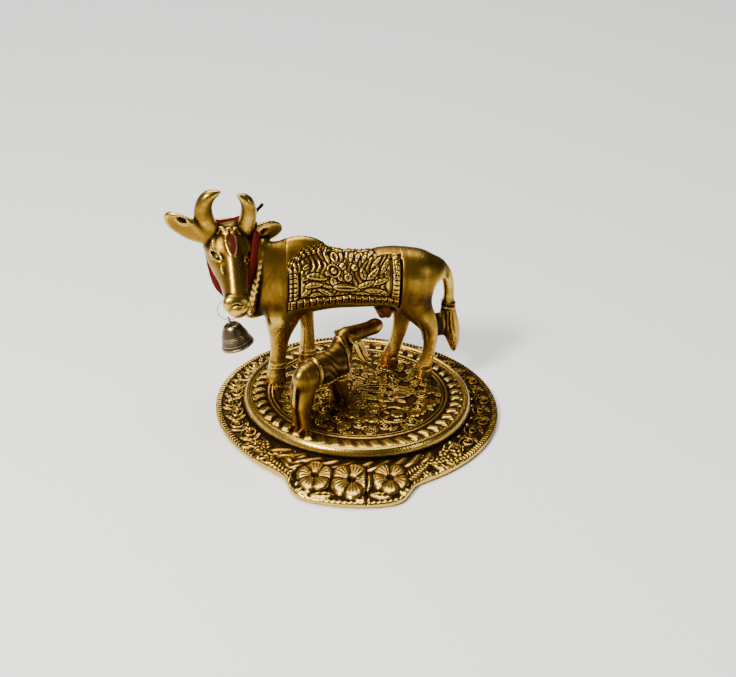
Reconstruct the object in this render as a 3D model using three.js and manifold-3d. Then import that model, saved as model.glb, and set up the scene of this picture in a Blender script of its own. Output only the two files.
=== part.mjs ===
// A gilded kamdhenu: a cow with her calf at her udder, on a round flowered plate.
// A red thread is tied round the cow's head and a small brass bell hangs from it.
// Millimetres, +Z up. The cow's body lies along X with its tail towards +X, and her head is turned to -Y.
// The model's origin is the middle of its bounding box, on the surface that the plate stands on.

import * as THREE from 'three';
import { mergeVertices } from 'three/addons/utils/BufferGeometryUtils.js';
import Module from 'manifold-3d';

const wasm = await Module();
wasm.setup();

// Driving dimensions of the plate

const PLATE_RADIUS = 63.5; // the round of the plate's rim, without the swell at the front
const LOBE_REACH = 11.5; // how far the flowered lobe at the front stands out of the rim's swell
const LOBE_HALF_ANGLE = 19.3; // degrees from the lobe's middle to its shoulders
const FRONT_SWELL = 5; // how far the rim swells towards the front, below the lobe
const DISC_RADIUS = 52.9; // outside of the raised disc
const FIELD_HEIGHT = 7.3; // the disc's flowered field above the table
const FLANGE_HEIGHT = 3.0; // top of the flange above the table
const FIELD_WALL = 3.5; // metal between the field and the hollow below it
const FOOT_WIDTH = 2; // the foot ring reaches this far in from the disc's edge
const BEAD_WIDTH = 4.3; // rolled edge of the disc
const BEAD_RISE = 0.9; // rolled edge above the field
const GADROON_BAND = 8.6; // band of lozenges between the rolled edge and the field
const LINE_WIDTH = 1.6; // raised line between the lozenges and the field
const LINE_RISE = 0.5;
const GADROON_COUNT = 48; // slanting lozenges round the field, a pattern that a worn patch breaks
const GADROON_LENGTH = 6.4;
const GADROON_WIDTH = 2.5;
const RIM_BAND = 2.7; // ribbed band along the plate's edge
const BLOOM_RADIUS = 7.4; // each flower on the lobe
const MEDALLION_RADIUS = 6.2;
const MEDALLION_BOSS = 2.6; // radius of the boss inside it
const ROUNDEL_RADIUS = 3.3;
const HOOP_WIDTH = 1.4; // raised ring of the medallion and of the roundel
const SCROLL_LENGTH = 6.8;
const SCROLL_WIDTH = 3;

// Driving dimensions of the animals and of what hangs on the cow

const COW_HEIGHT = 67.5; // hump above the feet
const COW_BACK = 18.45; // the cow's middle plane behind the plate's centre
const COW_TURN = 8.2; // degrees that the cow's length is turned from X
const CALF_HEIGHT = 36; // crown above the feet
const CALF_TURN = 53; // degrees that the calf's length is turned from X
const MUZZLE_AT = [13.4, -17.2]; // the calf's nose along and across the cow, in hundredths of her height
const THREAD_WIDTH = 3.2; // flat bundle of red thread
const THREAD_THICKNESS = 1.2;
const RING_RADIUS = 5; // middle line of the thin loop that the bell hangs from
const RING_WIRE = 0.6; // thickness of that loop
const BELL_DIAMETER = 15; // mouth of the bell
const BELL_HEIGHT = 10.5; // mouth to crown, without the crown's own loop
const BELL_WALL = 0.8;
const BELL_LOOP_RADIUS = 1.5; // middle line of the crown's loop
const BELL_LOOP_WIRE = 0.9;
const BELL_TILT = 20; // degrees that the bell leans
const CLEARANCE = 0.3; // between pieces that rest on or hang in each other

// Colours and finish

const gilt = new THREE.MeshStandardMaterial({ color: 0xb98a2c, roughness: 0.32, metalness: 1 });
const agedBrass = new THREE.MeshStandardMaterial({ color: 0x7d6a4c, roughness: 0.38, metalness: 1 });
const redThread = new THREE.MeshStandardMaterial({ color: 0x6a1512, roughness: 0.9, metalness: 0 });
const paleThread = new THREE.MeshStandardMaterial({ color: 0xb9a98a, roughness: 0.8, metalness: 0 });

// Geometry helpers

const vec = (x, y, z) => new THREE.Vector3(x, y, z);
const degrees = THREE.MathUtils.degToRad;
const ACROSS = vec(0, 1, 0);

// A closed geometry as a solid that can be joined and cut.
function solid(geometry, matrix) {
  const bare = geometry.clone();
  for (const name of ['normal', 'uv']) bare.deleteAttribute(name);
  if (matrix) bare.applyMatrix4(matrix);
  const merged = mergeVertices(bare, 1e-5);
  return new wasm.Manifold(new wasm.Mesh({
    numProp: 3,
    vertProperties: new Float32Array(merged.attributes.position.array),
    triVerts: new Uint32Array(merged.index.array),
  }));
}

// The geometry of a finished solid.
function surface(shape) {
  const mesh = shape.getMesh();
  const geometry = new THREE.BufferGeometry();
  geometry.setAttribute('position', new THREE.Float32BufferAttribute(mesh.vertProperties, mesh.numProp));
  geometry.setIndex(new THREE.Uint32BufferAttribute(mesh.triVerts, 1));
  geometry.computeVertexNormals();
  return geometry;
}

const join = (shapes) => wasm.Manifold.union(shapes);

function indexed(points, index) {
  const geometry = new THREE.BufferGeometry();
  geometry.setAttribute('position', new THREE.Float32BufferAttribute(points.flatMap((p) => p.toArray()), 3));
  geometry.setIndex(index);
  return geometry;
}

// A closed geometry from rings of equally many points, with a pole at each end.
function skin(rings, startPole, endPole) {
  const sides = rings[0].length;
  const points = [startPole, ...rings.flat(), endPole];
  const index = [];
  const at = (row, side) => 1 + row * sides + (side % sides);
  for (let side = 0; side < sides; side++) {
    index.push(0, at(0, side + 1), at(0, side));
    for (let row = 0; row < rings.length - 1; row++) {
      index.push(at(row, side), at(row, side + 1), at(row + 1, side + 1));
      index.push(at(row, side), at(row + 1, side + 1), at(row + 1, side));
    }
    index.push(points.length - 1, at(rings.length - 1, side), at(rings.length - 1, side + 1));
  }
  return indexed(points, index);
}

// A closed geometry from rings of equally many points whose last ring meets the first.
function loop(rings) {
  const sides = rings[0].length;
  const index = [];
  const at = (row, side) => (row % rings.length) * sides + (side % sides);
  for (let row = 0; row < rings.length; row++) {
    for (let side = 0; side < sides; side++) {
      index.push(at(row, side), at(row, side + 1), at(row + 1, side + 1));
      index.push(at(row, side), at(row + 1, side + 1), at(row + 1, side));
    }
  }
  return indexed(rings.flat(), index);
}

// A closed slab between two grids of points. Seen from outside the top grid, the columns run clockwise
// to the rows.
function slab(top, bottom) {
  const rows = top.length;
  const columns = top[0].length;
  const index = [];
  const at = (row, column, under) => (under * rows + row) * columns + column;
  const quad = (a, b, c, d) => index.push(a, b, c, a, c, d);
  for (let row = 0; row < rows - 1; row++) {
    for (let column = 0; column < columns - 1; column++) {
      quad(at(row, column, 0), at(row + 1, column, 0), at(row + 1, column + 1, 0), at(row, column + 1, 0));
      quad(at(row, column, 1), at(row, column + 1, 1), at(row + 1, column + 1, 1), at(row + 1, column, 1));
    }
    quad(at(row, 0, 0), at(row, 0, 1), at(row + 1, 0, 1), at(row + 1, 0, 0));
    const last = columns - 1;
    quad(at(row, last, 0), at(row + 1, last, 0), at(row + 1, last, 1), at(row, last, 1));
  }
  for (let column = 0; column < columns - 1; column++) {
    quad(at(0, column, 0), at(0, column + 1, 0), at(0, column + 1, 1), at(0, column, 1));
    const end = rows - 1;
    quad(at(end, column, 0), at(end, column, 1), at(end, column + 1, 1), at(end, column + 1, 0));
  }
  return indexed([...top.flat(), ...bottom.flat()], index);
}

// A limb, body or horn: an elliptical section carried along stations [x, y, z, half width, half depth].
// The width lies along the side vector, and the depth at right angles to it and to the limb.
class Limb {
  constructor(stations, side = ACROSS) {
    this.line = new THREE.CatmullRomCurve3(stations.map(([x, y, z]) => vec(x, y, z)));
    const sizes = stations.map(([, , , a, b]) => vec(a, b, 0));
    this.girth = new THREE.CatmullRomCurve3(sizes, false, 'catmullrom', 0.5);
    this.side = side;
    this.rows = stations.length - 1;
  }

  // The limb's length, width and outward directions at share t and angle from the side vector.
  frame(t, angle) {
    const along = this.line.getTangent(t);
    const across = this.side.clone().addScaledVector(along, -this.side.dot(along)).normalize();
    const depth = along.clone().cross(across);
    const out = across.clone().multiplyScalar(Math.cos(angle)).addScaledVector(depth, Math.sin(angle));
    return { along, across, depth, out };
  }

  // The point of the surface at share t and angle, raised off it.
  point(t, angle, raise = 0) {
    const { across, depth } = this.frame(t, angle);
    const size = this.girth.getPoint(t);
    return this.line.getPoint(t).addScaledVector(across, (size.x + raise) * Math.cos(angle))
      .addScaledVector(depth, (size.y + raise) * Math.sin(angle));
  }

  // A skin with one ring of points at each station.
  geometry(sides, raise = 0) {
    const rings = [];
    for (let row = 0; row <= this.rows; row++) {
      const ring = [];
      for (let i = 0; i < sides; i++) {
        ring.push(this.point(row / this.rows, (2 * Math.PI * i) / sides, raise));
      }
      rings.push(ring);
    }
    return skin(rings, this.line.getPoint(0), this.line.getPoint(1));
  }

  // A patch that lies on the limb at the given shares and falling angles, sunk into it and raised off it
  // by a height that a function gives from the row and the column.
  patch(shares, angles, sink, height) {
    const grid = (off) => shares.map((t, row) => (
      angles.map((angle, column) => this.point(t, angle, off(row, column)))));
    return solid(slab(grid(height), grid(() => -sink)));
  }

  // A matrix that sets a shape on the surface, its X along the limb before it is turned and its Z out.
  place(t, angle, turn = 0, raise = 0) {
    const { along, out } = this.frame(t, angle);
    return new THREE.Matrix4().makeBasis(along, out.clone().cross(along), out)
      .setPosition(this.point(t, angle, raise))
      .multiply(new THREE.Matrix4().makeRotationZ(turn));
  }
}

const limb = (stations, sides, side) => solid(new Limb(stations, side).geometry(sides));

const scaled = (matrix, half) => matrix.clone().multiply(new THREE.Matrix4().makeScale(...half));

// A rounded lump with three half sizes, set by a matrix.
function lumpOn(matrix, half, sides, rows) {
  return solid(new THREE.SphereGeometry(1, sides, rows), scaled(matrix, half));
}

// The same at a point, turned about Z.
function lump(at, half, sides, rows, turn = 0) {
  const matrix = new THREE.Matrix4().makeTranslation(...at).multiply(new THREE.Matrix4().makeRotationZ(turn));
  return lumpOn(matrix, half, sides, rows);
}

// An animal, in hundredths of its height, cut off flat under its hooves at height zero.
const UNDER_FEET = { width: 300, depth: 20 };

function onFlatFeet(shape) {
  const { width, depth } = UNDER_FEET;
  const under = new THREE.Matrix4().makeTranslation(0, 0, -depth / 2);
  return shape.subtract(solid(new THREE.BoxGeometry(width, width, depth), under));
}

// The cow. Her stations are in hundredths of her height at the hump:
// x from the head end to the tail, y from her left side to her right, z up from her feet.

const HOOF_TOP = 8;
const trunk = new Limb([
  [-67, 0, 58, 6, 9], [-61, 0, 61, 11, 16], [-50, 0, 65, 15, 22], [-36, 0, 68.5, 17, 22],
  [-18, 0, 69.6, 16.6, 20], [4, 0, 69.6, 16.8, 19.2], [24, 0, 71, 16.8, 20], [40, 0, 70.5, 16, 19.4],
  [49, 0, 73.5, 11.5, 12.5], [55, 0, 78, 5.5, 5],
]);
const neck = new Limb([
  [-42, 0, 70, 15, 21], [-56, -0.5, 76, 13, 20.6], [-68, -2, 84, 11, 17], [-77, -4, 94, 10, 14],
  [-83, -5, 101, 9, 10],
]);
const dewlap = new Limb([
  [-74, -5, 88, 7, 9], [-73, -2, 72, 8, 9], [-70, 0, 58, 8, 10.5], [-68, 0, 46, 5, 8],
]);
const HUMP = { at: [-36.5, 0, 84], half: [21, 8, 17] };

const LEGS = {
  nearFront: [[-46, -5, 60, 8, 14], [-48.5, -8.5, 46, 7, 10.4], [-49.6, -9, 37, 5.6, 7.2],
    [-50.6, -9, 28, 4.8, 5.6], [-51.9, -9, 15, 4.7, 5.4], [-53, -9, HOOF_TOP, 5.4, 6.2],
    [-53.4, -9, -2, 6.6, 7.6]],
  farFront: [[-38, 5, 60, 7, 10], [-34, 8.5, 46, 6, 7], [-31.5, 9, 36, 4.8, 5], [-31, 9, 27, 4.7, 4.8],
    [-30.8, 9, 15, 4.9, 5.4], [-30.6, 9, HOOF_TOP, 5.5, 6.3], [-30.5, 9, -2, 6.6, 7.6]],
  nearHind: [[35, -4, 68, 9.5, 14], [37, -7, 57, 8.5, 12.6], [45.5, -9, 45, 6.4, 8.4], [50, -9, 36, 5, 5.8],
    [50.8, -9, 25, 4.3, 4.6], [49.4, -9, 13, 4.5, 4.6], [47.8, -9, HOOF_TOP, 5.2, 5.6],
    [47, -9, -2, 6.2, 6.8]],
  farHind: [[32, 4, 64, 9, 13], [34.5, 8, 50, 7, 9], [34, 9, 39, 5.6, 6.6], [33, 9, 30, 4.8, 5.5],
    [29.8, 9, 16, 4.4, 4.8], [27, 9, HOOF_TOP, 5.2, 5.6], [26.2, 9, -2, 6.2, 6.8]],
};
const FETLOCK_BAND = { at: 12.5, out: 0.9, half: 1.6 }; // the raised ring round each front leg
const UDDER = { at: [20.5, 0, 51], half: [7, 7.5, 8.5] };
const TEATS = { at: [[18, -2.5, 44], [23, -2.5, 44]], half: [1.6, 1.6, 2.8] };

const TAIL = [[47, 0, 82.5, 4, 4], [53.5, 0, 80.2, 4, 4], [59, 0, 74.5, 3.8, 4], [62.4, 0, 65, 3.6, 3.7],
  [63.2, 0, 55, 3.4, 3.5], [63.4, 0, 50, 4.2, 4.4], [64, 0, 42, 5, 5.6], [66.4, 0, 32, 4.8, 6],
  [68.8, 0, 22, 3.8, 4], [69.7, 0, 14.5, 1.8, 1.6]];
const TAIL_WEB = [[49, -8, 37, 4, 8.5], [56, -4, 38, 3, 8], [62.5, -1, 38.5, 3, 7]];

// Her saddlecloth, by shares of the trunk and angles about it, and the carving on each side.
const CLOTH = {
  sides: 12, from: 0.19, to: 0.77, low: 48, raise: 0.8, sink: 2, rise: 1, band: 0.035, tabs: 11,
};
// Leaves and petals on the cloth: share of the trunk, degrees above level, half length and half width, and
// turn in degrees. All rise alike.
const CLOTH_RELIEF = [
  [0.43, 2, 4.4, 2.6, 90], [0.4, 3, 4, 1.9, 130], [0.46, 3, 4, 1.9, 50],
  [0.43, -16, 5, 2.2, 0], [0.33, 14, 5.4, 1.9, 150], [0.54, 14, 5.4, 1.9, 30], [0.31, -14, 5, 1.9, 10],
  [0.56, -14, 5, 1.9, 170], [0.4, 36, 4.8, 1.9, 110], [0.5, 36, 4.8, 1.9, 70],
];

const RELIEF_RISE = 1.2;

// Her head, from the crown: x to her left, y backwards, z up.
const CROWN = [-83.1, -3.4, 113.5];
const HEAD_TURN = 6.8; // degrees past square to her body
const HEAD_ROLL = 6; // degrees, her left side lower
const NOSE_DROP = 47; // degrees that the nose points below level
const NOSE_SWING = 0.065; // how far the muzzle swings to her left for each length along the nose
const SKULL = [[-5, -12, 6, 4], [-1, -12, 10.5, 8], [6, -11, 13.2, 11.5], [14, -11.5, 14.6, 13.5],
  [24, -11.5, 12.6, 12.5], [34, -10, 10, 10.5], [43, -8.5, 8.2, 8.8], [50, -8, 7.9, 8.2],
  [54, -8, 7.2, 7.2], [56, -8, 4.6, 4.5]];
const NOSE_BRIDGE = [[14, -1, 4, 3], [24, -0.6, 4.6, 3.4], [34, -1.4, 4.6, 3.4], [45, -2.6, 4.4, 3]];
const HORN_NEAR = [[-11, -1, -8, 6.5, 6.5], [-15, -2.5, 0, 6.2, 6.2], [-17.4, -4, 9, 5.3, 5.3],
  [-15.4, -5.5, 17, 4.1, 4.1], [-8.5, -7, 21.5, 1.4, 1.4]];
const HORN_FAR = [[10, 0, -8, 6, 6], [12.2, -1, 0, 5.4, 5.4], [13, -2, 8, 4.6, 4.6],
  [11.4, -3, 14.5, 3.5, 3.5], [6.4, -4, 18.5, 1.2, 1.2]];
const EAR_NEAR = [[-8, -3, -12, 5, 4], [-16, -4, -9.5, 6.4, 3.6], [-24, -3, -6.2, 8, 3],
  [-32, -0.5, -3, 7.6, 2.4], [-37, 2, -1, 4.8, 1.8], [-39.3, 3, 0, 1.5, 1]];
const EAR_FAR = [[8, 0, -10, 4, 4], [15, 1, -9.4, 5, 3.6], [22, 3, -9.2, 7, 3], [28, 5.5, -9.4, 6.6, 2.4],
  [32.5, 7.5, -10, 4.2, 1.8], [34.6, 8.5, -10.4, 1.4, 1]];
const EYE_NEAR = { at: [-10, -10.6, -15.6], half: [4, 3, 2.6] };
const EYE_FAR = { at: [11.6, -10.4, -15.8], half: [4, 3, 2.4] };
const EAR_HOLLOWS = [
  { at: [-28.5, -4.4, -4.6], half: [8.5, 2.6, 4.4] },
  { at: [25, 1, -9.2], half: [6.5, 2.4, 4] },
];

// Points of the face from stations along the nose and out of the forehead.
function face(stations) {
  const drop = degrees(NOSE_DROP);
  const nose = vec(NOSE_SWING, -Math.cos(drop), -Math.sin(drop));
  const brow = vec(0, -Math.sin(drop), Math.cos(drop));
  return stations.map(([along, out, a, b]) => {
    const p = vec(0, 0, 0).addScaledVector(nose, along).addScaledVector(brow, out);
    return [p.x, p.y, p.z, a, b];
  });
}

const headPlace = new THREE.Matrix4().makeTranslation(...CROWN)
  .multiply(new THREE.Matrix4().makeRotationZ(degrees(HEAD_TURN)))
  .multiply(new THREE.Matrix4().makeRotationY(degrees(HEAD_ROLL)));

const LATERAL = vec(1, 0, 0);
const EAR_RISE = vec(0, -0.3, 1);

// An eyeball, or a hollow that is scooped into the front of an ear.
function headLump(at, half, sides) {
  return lumpOn(headPlace.clone().multiply(new THREE.Matrix4().makeTranslation(...at)), half, sides, 3);
}

function headSolids(raise = 0) {
  const parts = [
    new Limb(face(SKULL), LATERAL).geometry(10, raise),
    new Limb(face(NOSE_BRIDGE), LATERAL).geometry(6, raise),
    new Limb(HORN_NEAR).geometry(8, raise),
    new Limb(HORN_FAR).geometry(8, raise),
    new Limb(EAR_NEAR, EAR_RISE).geometry(8, raise),
    new Limb(EAR_FAR, EAR_RISE).geometry(8, raise),
  ];
  const eyes = [EYE_NEAR, EYE_FAR].map(({ at, half }) => headLump(at, half, 6));
  return [...parts.map((geometry) => solid(geometry, headPlace)), ...eyes];
}

// The ribbed garland round her neck, from the nape to the throat: [x, y, z, half width, half depth].
const GARLAND = [[-62, -1, 99, 3, 2.4], [-62.6, -1, 95, 8.2, 3], [-63.6, -0.5, 88, 11.6, 3.2],
  [-65, 0, 79, 13.4, 3.2], [-66.6, 0, 69, 13.4, 3.2], [-68, 0, 60, 12.2, 3.2], [-69.2, 0, 53, 9.6, 3.2],
  [-70, 0, 47.5, 5.4, 2.6]];
const GARLAND_RIBS = 9;
const GARLAND_SIDES = 6;
const RIB_RISE = 1;

function garlandShape(extra = 0) {
  const core = new Limb(GARLAND);
  const rings = [];
  const rows = 2 * GARLAND_RIBS;
  for (let row = 0; row <= rows; row++) {
    const ring = [];
    const raise = extra + (row % 2 ? RIB_RISE : 0);
    for (let i = 0; i < GARLAND_SIDES; i++) {
      ring.push(core.point(row / rows, (2 * Math.PI * i) / GARLAND_SIDES, raise));
    }
    rings.push(ring);
  }
  return solid(skin(rings, core.line.getPoint(0), core.line.getPoint(1)));
}

// A cloth laid over a body that has a given number of sides, its rings and sides lined up with the body's
// own. It has a ridge near each end, on the flanks, and a hem of tabs on each side.
function clothOn(body, { sides, from, to, low, raise, sink, rise, band, tabs }) {
  const atStations = Array.from({ length: body.rows }, (_, i) => i / body.rows)
    .filter((t) => t > from + 2.5 * band && t < to - 2.5 * band);
  const shares = [from, from + band, from + 2 * band, ...atStations, to - 2 * band, to - band, to];
  const step = 360 / sides;
  const levels = [180 + low];
  for (let level = step * Math.ceil((180 + low) / step - 1); level > -low; level -= step) levels.push(level);
  levels.push(-low);
  const cloth = body.patch(shares, levels.map(degrees), sink, (row, column) => {
    const onRidge = row === 1 || row === shares.length - 2;
    const onFlank = column > 0 && column < levels.length - 1 && Math.abs(levels[column] - 90) > 50;
    return raise + (onRidge && onFlank ? rise : 0);
  });
  const hemShares = Array.from({ length: 2 * tabs + 1 }, (_, i) => from + ((to - from) * i) / (2 * tabs));
  const hems = [[180 + low, 180 + 0.8 * low], [-0.8 * low, -low]].map((hem) =>
    body.patch(hemShares, hem.map(degrees), 0, (row) => raise + (row % 2 ? rise : 0.1)));
  return join([cloth, ...hems]);
}

function clothShape() {
  const parts = [clothOn(trunk, CLOTH)];
  for (const side of [0, 1]) {
    for (const [t, level, half, width, turn] of CLOTH_RELIEF) {
      const angle = degrees(side ? 180 - level : level);
      const place = trunk.place(t, angle, degrees(side ? -turn : turn), CLOTH.raise);
      parts.push(lumpOn(place, [half, width, RELIEF_RISE], 4, 2));
    }
  }
  return join(parts);
}

function cowShape() {
  const legs = Object.values(LEGS).map((stations) => limb(stations, 8));
  const bands = ['nearFront', 'farFront'].map((name) => {
    const [x, y, , a, b] = LEGS[name][4];
    const { at, out, half } = FETLOCK_BAND;
    return lump([x, y, at], [b + out, a + out, half], 7, 3);
  });
  const teats = TEATS.at.map((at) => lump(at, TEATS.half, 5, 3));
  return onFlatFeet(join([
    solid(trunk.geometry(CLOTH.sides)),
    solid(neck.geometry(10)),
    solid(dewlap.geometry(8)),
    lump(HUMP.at, HUMP.half, 10, 8),
    lump(UDDER.at, UDDER.half, 7, 4),
    ...teats,
    limb(TAIL, 6),
    limb(TAIL_WEB, 6),
    ...legs,
    ...bands,
    ...headSolids(),
    garlandShape(),
    clothShape(),
  ])).subtract(join(EAR_HOLLOWS.map(({ at, half }) => headLump(at, half, 7))));
}

// The red thread, in the head's frame: over the poll behind the horns, down between horn and ear
// on one side and behind the ear on the other, and together behind the muzzle, where the bundle is bunched.
const THREAD_ROUTE = [
  [-12, 7.5, -2.6], [-5, 5, -2], [4, 4, -1.8], [11, 5.4, -0.8], [16.2, 5, -1.4], [18.6, 0.5, -5.4],
  [18, -6, -11], [17, -10.5, -17], [15.8, -13.6, -25], [14.2, -14.6, -33], [9.4, -15.4, -42],
  [4.4, -17.4, -48.2], [2.8, -14, -50.2], [1.2, -10.6, -48.2], [-4.6, -8.4, -42], [-8.2, -3.4, -33],
  [-10.4, 2, -24], [-13.2, 5.6, -14], [-14.8, 7.4, -7],
];
const THREAD_LOWEST = THREAD_ROUTE[12]; // the thread runs from front to back here, through the bell's loop
const THREAD_FACE = 0.9; // how far the bundle's outer face lies outside its route
const THREAD_HUB = { x: 2, y: 14, low: -42, high: -20 }; // the bundle faces away from this upright line
const THREAD_BUNCH = { from: -20, over: 60, least: 0.5 }; // it narrows below a height, down to a share
const THREAD_SIDES = 6;
const THREAD_END = [[16.2, 5, -1.6], [18, 5.2, 4], [22, 4.8, 10]]; // the cut end that sticks out of the knot
const THREAD_END_RADIUS = 0.6;

function threadShape() {
  const unit = COW_HEIGHT / 100;
  const { clamp } = THREE.MathUtils;
  const halfWidth = THREAD_WIDTH / unit / 2;
  const halfThick = THREAD_THICKNESS / unit / 2;
  const curve = new THREE.CatmullRomCurve3(THREAD_ROUTE.map((p) => vec(...p)), true);
  const rings = [];
  const rows = THREAD_ROUTE.length;
  for (let row = 0; row < rows; row++) {
    const p = curve.getPoint(row / rows);
    const along = curve.getTangent(row / rows);
    const out = p.clone().sub(vec(THREAD_HUB.x, THREAD_HUB.y, clamp(p.z, THREAD_HUB.low, THREAD_HUB.high)));
    out.addScaledVector(along, -out.dot(along)).normalize();
    const across = along.clone().cross(out);
    const bunched = clamp(1 + (p.z - THREAD_BUNCH.from) / THREAD_BUNCH.over, THREAD_BUNCH.least, 1);
    const middle = p.clone().addScaledVector(out, THREAD_FACE - halfThick);
    const ring = [];
    for (let i = 0; i < THREAD_SIDES; i++) {
      const angle = -(2 * Math.PI * i) / THREAD_SIDES;
      ring.push(middle.clone().addScaledVector(across, bunched * halfWidth * Math.cos(angle))
        .addScaledVector(out, halfThick * Math.sin(angle)));
    }
    rings.push(ring);
  }
  const endStations = THREAD_END.map(([x, y, z]) => [x, y, z, THREAD_END_RADIUS, THREAD_END_RADIUS]);
  const end = new Limb(endStations).geometry(5);
  const gap = CLEARANCE / unit + 0.15;
  const inTheWay = join([...headSolids(gap), solid(neck.geometry(10, gap)), solid(dewlap.geometry(8, gap)),
    garlandShape(gap)]);
  return join([solid(loop(rings), headPlace), solid(end, headPlace)]).subtract(inTheWay);
}

// The calf. Her stations are in hundredths of her own height: x from the rump to the head, y to her left,
// z up.

const calfTrunk = new Limb([
  [-50, 0, 60, 7, 9], [-44, 0, 62, 13.5, 16], [-26, 0, 62.5, 15.5, 19], [0, 0, 60.5, 16, 21],
  [20, 0, 62, 15.5, 21.5], [34, 0, 69, 11, 17], [41, 0, 76, 8, 10],
]);
const CALF_LEGS = [
  [[-36, 5, 60, 9, 14], [-42.5, 7.5, 44, 7.4, 9.4], [-46, 8, 30, 5.4, 6.6], [-43.4, 7.5, 14, 5, 5.6],
    [-42.2, 7, 6, 6, 6.8], [-42, 7, -3, 7.4, 8.4]],
  [[-36, -5, 60, 9, 14], [-42.5, -7.5, 44, 7.4, 9.4], [-46, -8, 30, 5.4, 6.6], [-43.4, -7.5, 14, 5, 5.6],
    [-42.2, -7, 6, 6, 6.8], [-42, -7, -3, 7.4, 8.4]],
  [[22, 5, 58, 9, 13], [24, 9, 42, 7.4, 8.6], [27, 9.6, 28, 5.6, 6], [32, 9.4, 14, 5, 5.4],
    [36, 9, 5, 5.6, 6.4], [37.4, 9, -3, 6.8, 7.6]],
  [[18, -5, 56, 9, 13], [20, -9, 42, 8, 9.4], [24, -10, 28, 6, 6.5], [31, -9.6, 14, 5, 5.4],
    [36, -9, 5, 5.6, 6.4], [37.4, -9, -3, 6.8, 7.6]],
];
const CALF_HEAD = [[28, 0, 70, 11, 15], [36, 3, 81, 9, 12], [42, 5, 87, 9.6, 10], [56, 4, 86.5, 9, 9],
  [72, 2, 85.5, 7.6, 7.6], [86, 0, 85, 6.8, 7.2], [97, -1, 84.5, 7.2, 7.8], [103, -2, 84, 5, 5.6]];
const CALF_EAR_NEAR = [[41, -1, 89, 5, 4], [46, -11, 84, 6, 3], [51, -14, 72, 6.8, 2.6],
  [57, -16, 58, 5.2, 2.2], [62, -16.5, 47, 1.8, 1.2]];
const CALF_EAR_FAR = [[39, 8, 89, 3.8, 3], [37, 12, 91, 4.2, 2.6], [35.5, 16, 91.5, 1.8, 1.2]];
const CALF_EAR_WIDTH = vec(1, 0, 0.3);
const CALF_CLOTH = {
  sides: 8, from: 0.3, to: 0.72, low: 18, raise: 1.2, sink: 2.5, rise: 1.6, band: 0.06, tabs: 3,
};
const CALF_NOSE = CALF_HEAD[7];

function calfShape() {
  return onFlatFeet(join([
    solid(calfTrunk.geometry(CALF_CLOTH.sides)),
    limb(CALF_HEAD, 8),
    limb(CALF_EAR_NEAR, 6, CALF_EAR_WIDTH),
    limb(CALF_EAR_FAR, 6, CALF_EAR_WIDTH),
    ...CALF_LEGS.map((stations) => limb(stations, 6)),
    clothOn(calfTrunk, CALF_CLOTH),
  ]));
}

// The plate

const SWELL_ANGLE = 38; // degrees over which the swell dies away
const SHOULDER_ANGLE = 1.9; // degrees that set how sharply the lobe's shoulders turn

// Distance from the plate's centre to its rim: a circle that swells towards the front and ends in the lobe.
function rimRadius(angle) {
  const off = Math.abs(THREE.MathUtils.euclideanModulo(angle + Math.PI / 2 + Math.PI, 2 * Math.PI) - Math.PI);
  const away = THREE.MathUtils.radToDeg(off);
  const swell = FRONT_SWELL * Math.exp(-((away / SWELL_ANGLE) ** 2));
  const lobe = LOBE_REACH / (1 + Math.exp((away - LOBE_HALF_ANGLE) / SHOULDER_ANGLE));
  return PLATE_RADIUS + swell + lobe;
}

// Angles round the plate, closer together towards the lobe.
function plateAngles(count) {
  const angles = [];
  for (let i = 0; i < count; i++) {
    const turn = (2 * Math.PI * i) / count;
    angles.push(Math.PI / 2 - turn - 0.36 * Math.sin(turn));
  }
  return angles;
}

// Each flower of the lobe: degrees from its middle and distance in from the rim.
const BLOOMS = [[-14.2, 13], [-1.5, 10.8], [10.7, 14.7]];
// A flower's rings from its pit outwards and under: share of its radius, rise above the flange, and notch
// between its petals. Its pit and its underside close them.
const BLOOM_RINGS = [[0.2, 1.3, 0], [0.7, 2.4, 0.16], [1, 1.2, 0.24], [0.9, -1, 0.24]];
const BLOOM_POLES = [1.2, -1];
const BLOOM_SIDES = 15; // three for each petal
// Each leaf beside them: the same two, half length, half width and turn in degrees from the rim's direction.
const LEAVES = [[-27, 12, 6.5, 3.4, 20], [-25.5, 6.4, 4.5, 2.4, -20], [-30, 4.8, 4, 2, 30],
  [21.5, 9.6, 6, 2.6, 10], [27, 5.2, 4.5, 2.2, -25], [34, 8, 4.2, 2.8, 0]];
const MEDALLION_AT = [16.4, -20.6];
const ROUNDEL_AT = [27.4, -12.9];
const LEAF_RISE = 1.5;
const SCROLLS = { count: 16, from: 44, to: 316 }; // along the flange, in degrees from the lobe's middle

function fromRim(degreesFromLobe, inward) {
  const angle = degrees(degreesFromLobe - 90);
  const r = rimRadius(angle) - inward;
  return [r * Math.cos(angle), r * Math.sin(angle), angle];
}

function bloomShapes() {
  const shapes = [];
  for (const [where, inward] of BLOOMS) {
    const [x, y] = fromRim(where, inward);
    shapes.push(solid(skin(BLOOM_RINGS.map(([share, rise, lobed]) => {
      const ring = [];
      for (let i = 0; i < BLOOM_SIDES; i++) {
        const angle = -(2 * Math.PI * i) / BLOOM_SIDES;
        const petal = 1 - (i % 3 ? 0 : lobed);
        const r = BLOOM_RADIUS * share * petal;
        ring.push(vec(x + r * Math.cos(angle), y + r * Math.sin(angle), FLANGE_HEIGHT + rise * (petal ** 2)));
      }
      return ring;
    }), ...BLOOM_POLES.map((rise) => vec(x, y, FLANGE_HEIGHT + rise)))));
  }
  for (const [where, inward, length, width, turn] of LEAVES) {
    const [x, y, angle] = fromRim(where, inward);
    shapes.push(lump([x, y, FLANGE_HEIGHT], [length, width, LEAF_RISE], 4, 2, angle + degrees(turn)));
  }
  return shapes;
}

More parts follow.
